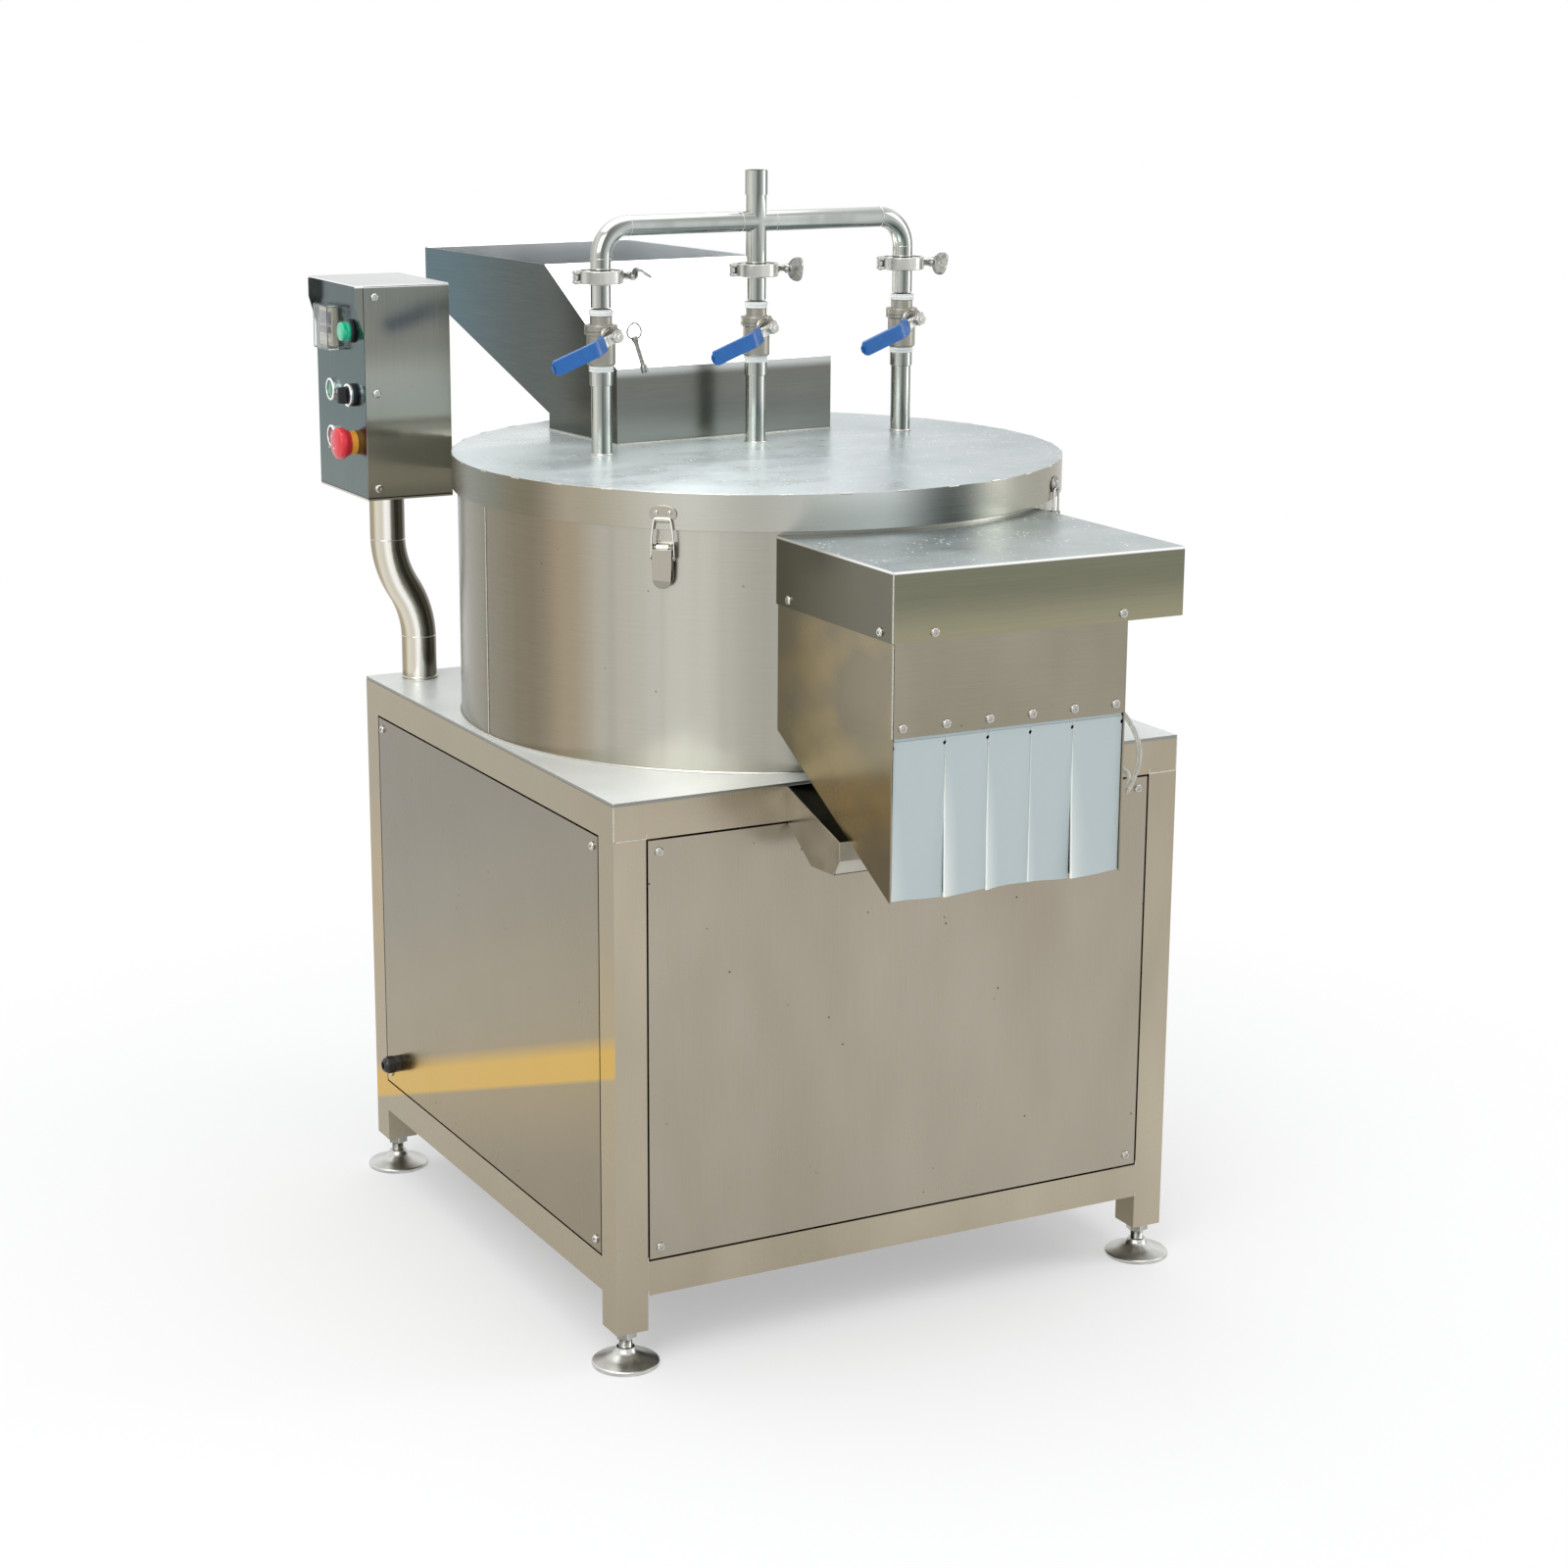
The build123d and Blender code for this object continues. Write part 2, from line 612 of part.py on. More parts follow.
def make_foot(x, y):
    """Pressed disc, threaded stud and lock nut of one levelling foot."""
    profile = [(STUD_R, 0), (FOOT_DISC_R, 0), (FOOT_DISC_R, FOOT_RIM_H), (FOOT_DISC_R * 0.72, FOOT_RIM_H * 2),
               (FOOT_HUB_R * 1.35, FOOT_DISC_H * 0.8), (FOOT_HUB_R, FOOT_DISC_H), (STUD_R, FOOT_DISC_H)]
    disc = revolve(Plane.XZ * make_face(Polyline(*profile, close=True)), axis=Axis.Z)
    stud = disc_z(STUD_R, 0, FOOT_H + STUD_IN_POST)
    nut = extrude(RegularPolygon(NUT_AF / 2, 6, major_radius=False) - Circle(STUD_R), amount=NUT_H)
    nut = Pos(0, 0, FOOT_H - NUT_H) * nut
    return [Pos(x, y, 0) * piece for piece in (disc, stud, nut)]


def make_feet():
    """Four levelling feet under the posts."""
    pieces = []
    for sx in (-1, 1):
        for sy in (-1, 1):
            pieces += make_foot(sx * (HALF_W - POST / 2), sy * (HALF_D - POST / 2))
    add("levelling_feet", group(pieces))


# ================================================================ drum, disc and drive
def make_drum():
    """Drum shell on the top plate, with its grit lining and the discharge opening."""
    opening = block(-OPENING_HALF_W, OPENING_HALF_W, -DRUM_R - EPS, 0, TOP + OPENING_LOW, TOP + OPENING_HIGH)
    shell = ring_z(DRUM_R, DRUM_R - DRUM_WALL, TOP, TOP + DRUM_H) - opening
    lining = ring_z(DRUM_R - DRUM_WALL, LINING_R, TOP + LINING_LOW, TOP + LINING_HIGH) - opening
    add("drum_shell", shell)
    add("drum_lining", lining)


def make_disc():
    """Abrasive disc with raised waves, a hub, and sweeping paddles below it."""
    z0 = TOP + DISC_LOW
    z1 = TOP + DISC_HIGH
    plate = disc_z(DISC_R, z0, z1)
    hub = disc_z(HUB_R, z0 - HUB_H, z0)
    disc = plate + hub - disc_z(SHAFT_R, z0 - HUB_H - EPS, z1 + EPS)
    wave = Plane.YZ.offset(CAP_R + 2 * PADDLE_T) * make_face(
        Polyline((-WAVE_W / 2, 0), (WAVE_W / 2, 0)) + ThreePointArc((WAVE_W / 2, 0), (0, WAVE_H), (-WAVE_W / 2, 0)))
    wave = Pos(0, 0, z1) * extrude(wave, amount=DISC_R - CAP_R - 4 * PADDLE_T)
    paddle = block(HUB_R + PADDLE_T, DISC_R - PADDLE_T, -PADDLE_T / 2, PADDLE_T / 2, TOP + PADDLE_CLEAR, z0)
    for k in range(WAVE_COUNT):
        turn = Rot(0, 0, 90 + 360 * k / WAVE_COUNT)
        disc = disc + turn * wave
    for k in range(2):
        disc = disc + Rot(0, 0, 180 * k) * paddle
    add("abrasive_disc", disc)


def make_shaft():
    """Shaft of the disc, with the cap nut on its upper end."""
    z1 = TOP + DISC_HIGH
    cap = disc_z(CAP_R, z1, z1 + CAP_H)
    cap = fillet(cap.faces().sort_by(Axis.Z).last.edges(), CAP_H * 0.6)
    return disc_z(SHAFT_R, PULLEY_LOW, z1) + cap


def make_bearing_housing():
    """Flanged housing under the top plate, with a neck through it, two bearings and the lip seal."""
    under = TOP - TOP_PLATE_T
    low = TOP - HOUSING_LOW
    body = disc_z(HOUSING_R, low, under) + disc_z(HOUSING_FLANGE_R, under - HOUSING_FLANGE_T, under)
    body = body + disc_z(NECK_R, under, TOP + NECK_H)
    seat_high = under - HOUSING_FLANGE_T
    cuts = [
        disc_z(HOUSING_BORE, low + BEARING_T, seat_high - BEARING_T),
        disc_z(BEARING_R, low + SEAT_LIP, low + SEAT_LIP + BEARING_T),
        disc_z(BEARING_R, seat_high - BEARING_T - SEAT_LIP, seat_high - SEAT_LIP),
        disc_z(SHAFT_R + SEAT_LIP / 2, low - EPS, TOP + NECK_H + EPS),
        disc_z(SEAL_R, TOP + NECK_H - SEAL_T, TOP + NECK_H + EPS),
    ]
    for cut in cuts:
        body = body - cut
    add("bearing_housing", body)
    bore = SHAFT_R + RUN_FIT
    lower = ring_z(BEARING_R, bore, low + SEAT_LIP, low + SEAT_LIP + BEARING_T)
    upper = ring_z(BEARING_R, bore, seat_high - BEARING_T - SEAT_LIP, seat_high - SEAT_LIP)
    seal = ring_z(SEAL_R, bore, TOP + NECK_H - SEAL_T, TOP + NECK_H)
    add("bearings_and_seal", group([lower, upper, seal]))


def grooved_pulley(radius, bore, x, y):
    """Two-groove belt pulley on an upright axis."""
    wheel = ring_z(radius, bore, PULLEY_LOW, PULLEY_HIGH, x, y)
    middle = (PULLEY_LOW + PULLEY_HIGH) / 2
    floor = radius - BELT_SEAT - BELT_H - BELT_CLEAR
    for side in (-1, 1):
        z = middle + side * BELT_PITCH / 2
        half = BELT_W / 2 + BELT_CLEAR
        wheel = wheel - ring_z(radius + EPS, floor, z - half, z + half, x, y)
    return wheel


def make_pulleys_and_belts():
    """Shaft with its pulley, the motor's pulley, and the two belts between them."""
    driven = grooved_pulley(DRIVEN_R, SHAFT_R, 0, 0)
    add("disc_shaft", group([make_shaft(), driven]))
    driver = grooved_pulley(DRIVER_R, MOTOR_SHAFT_R, 0, MOTOR_OFFSET)
    spindle = disc_z(MOTOR_SHAFT_R, PULLEY_LOW, SHELF_LOW + BRACKET_T, 0, MOTOR_OFFSET)
    add("motor_pulley", driver + spindle)
    belts = []
    middle = (PULLEY_LOW + PULLEY_HIGH) / 2
    for side in (-1, 1):
        z = middle + side * BELT_PITCH / 2
        loops = []
        for depth in (BELT_SEAT, BELT_SEAT + BELT_H):
            big = Circle(DRIVEN_R - depth)
            small = Pos(0, MOTOR_OFFSET) * Circle(DRIVER_R - depth)
            loops.append(make_hull(big.edges() + small.edges()))
        belt = extrude(loops[0] - loops[1], amount=BELT_W)
        belts.append(Pos(0, 0, z - BELT_W / 2) * belt)
    add("drive_belts", group(belts))


def make_motor():
    """Flange motor, shaft down, on a bracket hung from the top plate."""
    shelf_high = SHELF_LOW + BRACKET_T
    y0 = MOTOR_OFFSET - BRACKET_D / 2
    y1 = y0 + BRACKET_D
    shelf = block(-BRACKET_W / 2, BRACKET_W / 2, y0, y1, SHELF_LOW, shelf_high)
    shelf = shelf - disc_z(MOTOR_SHAFT_R * 2, SHELF_LOW - EPS, shelf_high + EPS, 0, MOTOR_OFFSET)
    for side in (-1, 1):
        x0 = side * BRACKET_W / 2 - (BRACKET_T if side > 0 else 0)
        shelf = shelf + block(x0, x0 + BRACKET_T, y0, y1, shelf_high, RAIL_HIGH)
    add("motor_bracket", shelf)

    flange = ring_z(MOTOR_FLANGE_R, MOTOR_SHAFT_R + EPS, shelf_high, shelf_high + BRACKET_T * 1.5, 0, MOTOR_OFFSET)
    frame_low = shelf_high + BRACKET_T * 1.5
    frame_high = shelf_high + MOTOR_LEN - FAN_COWL_H
    frame = disc_z(MOTOR_R * 0.88, frame_low, frame_high, 0, MOTOR_OFFSET)
    fin = block(MOTOR_R * 0.8, MOTOR_R, -1.5, 1.5, frame_low + EPS, frame_high)
    for k in range(24):
        frame = frame + Pos(0, MOTOR_OFFSET, 0) * Rot(0, 0, 15 * k) * fin
    cowl = disc_z(MOTOR_R, frame_high, frame_high + FAN_COWL_H, 0, MOTOR_OFFSET)
    cowl = fillet(cowl.faces().sort_by(Axis.Z).last.edges(), FAN_COWL_H * 0.3)
    box_low = frame_low + MOTOR_R * 0.6
    terminal = block(-MOTOR_R * 0.5, MOTOR_R * 0.5, MOTOR_OFFSET - MOTOR_R * 1.45, MOTOR_OFFSET - MOTOR_R,
                     box_low, box_low + MOTOR_R)
    add("motor", group([flange, frame, cowl, terminal]))


# ================================================================ discharge chute, door and spout
def floor_height(y):
    """Upper face of the chute floor at a distance y from the drum's axis, above the top plate."""
    sill_y = math.sqrt(DRUM_R ** 2 - (CHUTE_W / 2) ** 2)
    slope = (CHUTE_SILL + CHUTE_TIP_LOW) / (CHUTE_FRONT - sill_y)
    return CHUTE_SILL - slope * (y - sill_y)


def make_chute():
    """Two side walls, sloping floor and front plate, welded to the drum, with the door's guides."""
    sill_y = math.sqrt(DRUM_R ** 2 - (CHUTE_W / 2) ** 2)
    half = CHUTE_W / 2
    wall_line = [(-sill_y, TOP + CHUTE_SILL), (-CHUTE_FRONT, TOP - CHUTE_TIP_LOW),
                 (-CHUTE_FRONT, TOP + CHUTE_TOP), (-sill_y, TOP + CHUTE_TOP)]
    left = side_prism(wall_line, -half, -half + SHEET)
    right = side_prism(wall_line, half - SHEET, half)
    slot = block(half - SHEET - EPS, half + EPS, -ARM_Y - ARM_T / 2 - ARM_SLOT_CLEAR,
                 -ARM_Y + ARM_T / 2 + ARM_SLOT_CLEAR, TOP + ARM_LOW - ARM_SLOT_CLEAR,
                 TOP + ARM_LOW + ARM_H + DOOR_TRAVEL + ARM_SLOT_CLEAR)
    right = right - slot
    drop = SHEET / math.cos(math.atan2(CHUTE_SILL + CHUTE_TIP_LOW, CHUTE_FRONT - sill_y))
    back_y = sill_y - 2 * GUIDE_W
    tip_y = -CURTAIN_BACK - FLAP_BACK_GAP
    floor_line = [(-back_y, TOP + floor_height(back_y) + drop), (-tip_y, TOP + floor_height(tip_y) + drop),
                  (-tip_y, TOP + floor_height(tip_y)), (-back_y, TOP + floor_height(back_y))]
    floor = side_prism(floor_line, -half + SHEET, half - SHEET)
    drum = disc_z(DRUM_R, TOP - CHUTE_TIP_LOW, TOP + CHUTE_TOP + EPS)
    front = block(-half + SHEET, half - SHEET, -CHUTE_FRONT, -CHUTE_FRONT + SHEET, TOP + FRONT_PLATE_LOW,
                  TOP + CHUTE_TOP)
    front = front - curtain_screw_holes()
    guides = []
    guide_y = -math.sqrt((DRUM_R + DOOR_GAP + DOOR_T) ** 2 - (DOOR_HALF_W - GUIDE_W) ** 2) - DOOR_GAP
    for side in (-1, 1):
        xs = sorted((side * (half - SHEET), side * (half - SHEET - GUIDE_W)))
        guides.append(block(xs[0], xs[1], guide_y - GUIDE_T, guide_y, TOP + CHUTE_SILL,
                            TOP + DOOR_HIGH + DOOR_TRAVEL))
    shelf = block(half, CYL_X + CYL_R, -ARM_Y - SHELF_HALF_D, -ARM_Y + SHELF_HALF_D,
                  TOP + CYL_TOP, TOP + CYL_TOP + SHELF_T)
    shelf = shelf - disc_z(ROD_R + EPS, TOP + CYL_TOP - EPS, TOP + CYL_TOP + SHELF_T + EPS, CYL_X, -ARM_Y)
    add("chute_body", group([left - drum, right - drum, floor - drum, front, shelf] + guides))


def cover_screw_places():
    """Seats and directions of the four screws of the chute cover."""
    face_y = -CHUTE_FRONT - COVER_T
    face_x = -CHUTE_W / 2 - COVER_T
    z = TOP + COVER_SCREW_Z
    front = [((-CHUTE_W / 3, face_y, z), (0, 1, 0)), ((CHUTE_W / 2 - SHEET * 4, face_y, z), (0, 1, 0))]
    near = -CHUTE_FRONT + SPOUT_SHEET * 12
    far = -DRUM_R + SHEET
    left = [((face_x, near, z), (1, 0, 0)), ((face_x, far, z), (1, 0, 0))]
    return front + left


def make_chute_cover():
    """Folded cover over the chute and, at its right, over the door's arm."""
    half = CHUTE_W / 2
    x0 = -half - COVER_T
    x1 = half + COVER_OVERHANG
    y0 = -CHUTE_FRONT - COVER_T
    z1 = TOP + CHUTE_TOP + COVER_T
    z0 = z1 - COVER_SKIRT
    drum = disc_z(DRUM_R + COVER_FIT, z0 - EPS, z1 + EPS)
    shell = block(x0, x1, y0, 0, z0, z1)
    inside = block(x0 + COVER_T, x1 - COVER_T, y0 + COVER_T, EPS, z0 - EPS, z1 - COVER_T)
    cover = shell - inside - drum
    cover = cover.solids().filter_by(lambda s: s.center().Y < -DRUM_R * 0.5)[0]
    for seat, inward in cover_screw_places():
        start = Vector(*seat) - Vector(*inward)
        cover = cover - rod(SCREW_R, start, start + Vector(*inward) * (COVER_T + 2 * EPS))
    add("chute_cover", cover)


def curtain_screw_xs():
    """Places across the chute of the curtain's screws."""
    count = FLAP_COUNT + 1
    return [(k - (count - 1) / 2) * FLAP_PITCH for k in range(count)]


def curtain_screw_holes():
    """Cutters through the front plate and the curtain's band."""
    y0 = -CHUTE_FRONT - EPS
    y1 = CURTAIN_BACK + EPS
    z = TOP + CURTAIN_SCREW_Z
    return [rod(SCREW_R, (x, y0, z), (x, y1, z)) for x in curtain_screw_xs()]


def make_curtain():
    """Splash curtain behind the front plate: one clamped band and five flaps."""
    y0 = -CHUTE_FRONT + SHEET
    half = CHUTE_W / 2 - SHEET - FLAP_SIDE_GAP
    band = block(-half, half, y0, CURTAIN_BACK, TOP + FLAP_TOP, TOP + FLAP_TOP + BAND_H)
    add("curtain_band", band - curtain_screw_holes())
    edges = [-half] + [(k - FLAP_COUNT / 2) * FLAP_PITCH for k in range(1, FLAP_COUNT)] + [half]
    for k in range(FLAP_COUNT):
        x0 = edges[k] + (FLAP_GAP / 2 if k else 0)
        x1 = edges[k + 1] - (FLAP_GAP / 2 if k < FLAP_COUNT - 1 else 0)
        flap = block(x0, x1, y0, CURTAIN_BACK, TOP - FLAP_LOW, TOP + FLAP_TOP - LID_REST)
        add("curtain_flap_%d" % (k + 1), flap)


def make_door():
    """Curved sliding door with its arm and the cylinder's rod."""
    inner = DRUM_R + DOOR_GAP
    outer = inner + DOOR_T
    ring = ring_z(outer, inner, TOP + DOOR_LOW, TOP + DOOR_HIGH)
    door = ring & block(-DOOR_HALF_W, DOOR_HALF_W, -outer - EPS, -outer / 2, TOP + DOOR_LOW, TOP + DOOR_HIGH)
    lug = block(ARM_INNER_X, ARM_INNER_X + LUG_W, -ARM_Y, -inner * 0.9, TOP + ARM_LOW, TOP + ARM_LOW + ARM_H)
    lug = lug - disc_z(outer - DOOR_T / 2, TOP, TOP + CHUTE_TOP)
    arm = block(ARM_INNER_X, CYL_X + ROD_R * 2, -ARM_Y - ARM_T / 2, -ARM_Y + ARM_T / 2, TOP + ARM_LOW,
                TOP + ARM_LOW + ARM_H)
    boss = disc_z(ROD_R * 2, TOP + ARM_LOW, TOP + ARM_LOW + ARM_H, CYL_X, -ARM_Y)
    piston_rod = disc_z(ROD_R, TOP + CYL_TOP - CYL_LEN * 0.1, TOP + ARM_LOW, CYL_X, -ARM_Y)
    add("discharge_door", door + lug + arm + boss + piston_rod)


def make_air_cylinder():
    """Air cylinder hung from the shelf on the chute's right wall, with its push-in fittings and bulkheads."""
    high = TOP + CYL_TOP
    low = high - CYL_LEN
    barrel = disc_z(CYL_R - CYL_WAIST, low, high - HEAD_H, CYL_X, -ARM_Y)
    head = disc_z(CYL_R, high - HEAD_H, high, CYL_X, -ARM_Y)
    foot = disc_z(CYL_R, low, low + HEAD_H / 2, CYL_X, -ARM_Y)
    bore = disc_z(ROD_R + RUN_FIT, high - CYL_LEN * 0.95, high + EPS, CYL_X, -ARM_Y)
    cylinder = barrel + head + foot - bore
    fittings = []
    for k in range(2):
        z = TOP + PORT_HIGH - k * PORT_STEP
        seat = -ARM_Y - CYL_R
        start = seat + CYL_R * 0.1
        fittings.append(rod(FITTING_R, (CYL_X, start, z), (CYL_X, seat - FITTING_L, z)) - cylinder)
        x = BULKHEAD_X + k * BULKHEAD_STEP
        z = TOP - BULKHEAD_DROP
        fittings.append(rod(FITTING_R, (x, -HALF_D, z), (x, -HALF_D - BULKHEAD_L, z)))
    add("air_cylinder", group([cylinder] + fittings))


def hose_route(k):
    """Route of an air hose from its port on the cylinder to its bulkhead on the front rail."""
    port = (CYL_X, -ARM_Y - CYL_R - FITTING_L, TOP + PORT_HIGH - k * PORT_STEP)
    end = (BULKHEAD_X + (1 - k) * BULKHEAD_STEP, -HALF_D - BULKHEAD_L, TOP - BULKHEAD_DROP)
    outer = [(0, -0.26, 0), (0.09, -0.48, -0.06), (0.2, -0.7, -0.24), (0.3, -0.82, -0.5), (0.33, -0.82, -0.78),
             (0.31, -0.71, -1.03), (0.38, -0.5, -1.22), (0.55, -0.28, -1.27), (0.75, -0.04, -1.21),
             (0.85, 0.22, -1.14)]
    inner = [(0, -0.2, 0), (0.05, -0.4, -0.06), (0.13, -0.56, -0.24), (0.18, -0.6, -0.48), (0.18, -0.54, -0.71),
             (0.21, -0.38, -0.89), (0.31, -0.18, -0.98), (0.46, 0.02, -0.98), (0.6, 0.26, -0.94)]
    bends = [tuple(Vector(*port) + Vector(*step) * HOSE_LOOP) for step in (outer, inner)[k]]
    return [port] + bends + [end]


def make_hose(k):
    """Air hose as straight runs joined by tangent arcs."""
    points = [Vector(*p) for p in hose_route(k)]
    radii = []
    for i in range(1, len(points) - 1):
        before = points[i] - points[i - 1]
        after = points[i + 1] - points[i]
        half_turn = math.radians(before.get_angle(after)) / 2
        radii.append(0.45 * min(before.length, after.length) / math.tan(half_turn))
    path = FilletPolyline(*points, radius=radii)
    section = Plane(origin=points[0], z_dir=points[1] - points[0]) * Circle(HOSE_R)
    hose = sweep(section, path=path)
    ideal = math.pi * HOSE_R ** 2 * path.length
    print("hose %d: length %.0f, volume ratio %.4f, tightest radius %.0f, straight sum %.0f" % (
        k + 1, path.length, hose.volume / ideal, min(radii),
        sum((points[i + 1] - points[i]).length for i in range(len(points) - 1))))
    return hose


def make_spout():
    """Waste spout: sloping floor from the drum's drain out through the front, with side plates and a lip."""
    half = SPOUT_W / 2
    inner = (-SPOUT_INNER_Y, RAIL_HIGH)
    face = (-HALF_D, RAIL_HIGH)
    lip_high = (-SPOUT_LIP_Y, TOP - SPOUT_LIP_HIGH)
    lip_low = (-SPOUT_LIP_Y - SPOUT_SHEET, TOP - SPOUT_LIP_LOW)
    toe = (-SPOUT_TOE_Y, TOP - SPOUT_TOE_Z)
    heel = (-SPOUT_HEEL_Y, TOP - SPOUT_HEEL_Z)
    outline = [inner, face, lip_high, lip_low, toe, heel]
    left = side_prism(outline, -half, -half + SPOUT_SHEET)
    right = side_prism(outline, half - SPOUT_SHEET, half)
    slope = math.atan2(inner[1] - heel[1], inner[0] - heel[0])
    up = SPOUT_SHEET / math.cos(slope)
    floor_line = [heel, inner, (inner[0] - up / math.tan(slope), inner[1]), (heel[0], heel[1] + up)]
    inner_half = half - SPOUT_SHEET
    floor = side_prism(floor_line, -inner_half, inner_half)
    apron_line = [lip_high, lip_low, toe, (toe[0] + SPOUT_SHEET, toe[1] + SPOUT_SHEET / 2),
                  (lip_low[0] + SPOUT_SHEET, lip_low[1] + SPOUT_SHEET / 2),
                  (lip_high[0] + SPOUT_SHEET, lip_high[1] - SPOUT_SHEET)]
    apron = side_prism(apron_line, -inner_half, inner_half)
    add("waste_spout", group([left, right, floor, apron]))


# ================================================================ lid, hopper and pipework
def hopper_outline():
    """Side view of the hopper as (y, z), from the lid's upper face."""
    return [(NECK_FRONT, 0), (NECK_FRONT, NECK_TOP), (MOUTH_FRONT, MOUTH_TOP), (MOUTH_BACK, MOUTH_TOP),
            (MOUTH_BACK, HOPPER_BACK_LOW), (NECK_BACK, NECK_LOW_BACK), (NECK_BACK, 0)]


def make_lid():
    """Round lid with its skirt, the hopper's opening, the pipe holes and the keepers' rivets."""
    plate = disc_z(LID_R, LID_HIGH - LID_T, LID_HIGH)
    skirt = ring_z(LID_R, LID_R - LID_T, SKIRT_LOW, LID_HIGH)
    half = HOPPER_W / 2 - SHEET
    mouth = block(HOPPER_X - half, HOPPER_X + half, NECK_FRONT + SHEET, NECK_BACK - SHEET,
                  LID_HIGH - LID_T - EPS, LID_HIGH + EPS)
    lid = plate + skirt - on_lid(mouth)
    for x in PIPE_XS:
        lid = lid - on_lid(disc_z(PIPE_R, LID_HIGH - LID_T - EPS, LID_HIGH + EPS, x, PIPE_Y))
    add("lid", lid)


def make_hopper():
    """Folded sheet hopper: neck on the lid, sloping floor, open mouth above."""
    outer = make_face(Polyline(*hopper_outline(), close=True))
    inner = offset(outer, -SHEET, kind=Kind.INTERSECTION)
    x0 = HOPPER_X - HOPPER_W / 2
    x1 = HOPPER_X + HOPPER_W / 2
    body = extrude(Plane.YZ.offset(x0) * outer, amount=HOPPER_W)
    hollow = extrude(Plane.YZ.offset(x0 + SHEET) * inner, amount=HOPPER_W - 2 * SHEET)
    mouth = block(x0 + SHEET, x1 - SHEET, MOUTH_FRONT + SHEET, MOUTH_BACK - SHEET, MOUTH_TOP - 2 * SHEET,
                  MOUTH_TOP + EPS)
    neck = block(x0 + SHEET, x1 - SHEET, NECK_FRONT + SHEET, NECK_BACK - SHEET, -EPS, 2 * SHEET)
    hopper = body - hollow - mouth - neck
    add("hopper", on_lid(Pos(0, 0, LID_HIGH) * hopper))


def pipe_z(z0, z1, x):
    """Upright length of spray pipe on the lid."""
    return ring_z(PIPE_R, PIPE_R - PIPE_WALL, LID_HIGH + z0, LID_HIGH + z1, x, PIPE_Y)


def make_pipework():
    """Lower pipes with nozzles, upper pipes with ferrules, the header and the inlet socket."""
    pieces = []
    valve_low = VALVE_Z - VALVE_H / 2 - SLEEVE_H
    ferrule_low = FERRULE_Z - GASKET_T / 2 - FERRULE_T
    upper_low = FERRULE_Z + GASKET_T / 2
    valve_high = VALVE_Z + VALVE_H / 2 + VALVE_HEX_H
    for x in PIPE_XS:
        nozzle_high = LID_HIGH - LID_T - LID_REST
        lower = pipe_z(-LID_T - NOZZLE_H, valve_low, x)
        nozzle = ring_z(NOZZLE_R, PIPE_R, nozzle_high - NOZZLE_H, nozzle_high - NOZZLE_H / 3, x, PIPE_Y)
        neck = pipe_z(valve_high, ferrule_low, x)
        ferrule = ring_z(FERRULE_R, PIPE_R - PIPE_WALL, LID_HIGH + ferrule_low, LID_HIGH + FERRULE_Z - GASKET_T / 2,
                         x, PIPE_Y)
        gasket = ring_z(FERRULE_R - EPS, PIPE_R - PIPE_WALL, LID_HIGH + FERRULE_Z - GASKET_T / 2,
                        LID_HIGH + upper_low, x, PIPE_Y)
        pieces += [lower + nozzle, neck + ferrule, gasket]
    left = Vector(PIPE_XS[0], PIPE_Y, LID_HIGH + upper_low)
    right = Vector(PIPE_XS[2], PIPE_Y, LID_HIGH + upper_low)
    header_z = LID_HIGH + HEADER_Z
    corners = [left, Vector(left.X, PIPE_Y, header_z), Vector(right.X, PIPE_Y, header_z), right]
    path = FilletPolyline(*corners, radius=ELBOW_R)
    ring = Plane(origin=left, z_dir=(0, 0, 1)) * (Circle(PIPE_R) - Circle(PIPE_R - PIPE_WALL))
    solid_bore = Plane(origin=left, z_dir=(0, 0, 1)) * Circle(PIPE_R - PIPE_WALL)
    header = sweep(ring, path=path)
    riser = disc_z(PIPE_R, LID_HIGH + upper_low, LID_HIGH + INLET_TOP - INLET_SOCKET_H / 2, PIPE_X, PIPE_Y)
    socket = disc_z(INLET_SOCKET_R, LID_HIGH + INLET_TOP - INLET_SOCKET_H, LID_HIGH + INLET_TOP, PIPE_X, PIPE_Y)
    bore = disc_z(PIPE_R - PIPE_WALL, LID_HIGH + upper_low - EPS, LID_HIGH + INLET_TOP + EPS, PIPE_X, PIPE_Y)
    inlet = disc_z(INLET_BORE_R, LID_HIGH + INLET_TOP - INLET_BORE_H, LID_HIGH + INLET_TOP + EPS, PIPE_X, PIPE_Y)
    upper = header + riser + socket - bore - inlet - sweep(solid_bore, path=path)
    for x in PIPE_XS:
        ferrule = ring_z(FERRULE_R, PIPE_R - PIPE_WALL, LID_HIGH + upper_low, LID_HIGH + upper_low + FERRULE_T,
                         x, PIPE_Y)
        upper = upper + ferrule
    pieces.append(upper)
    add("spray_pipework", on_lid(group(pieces)))


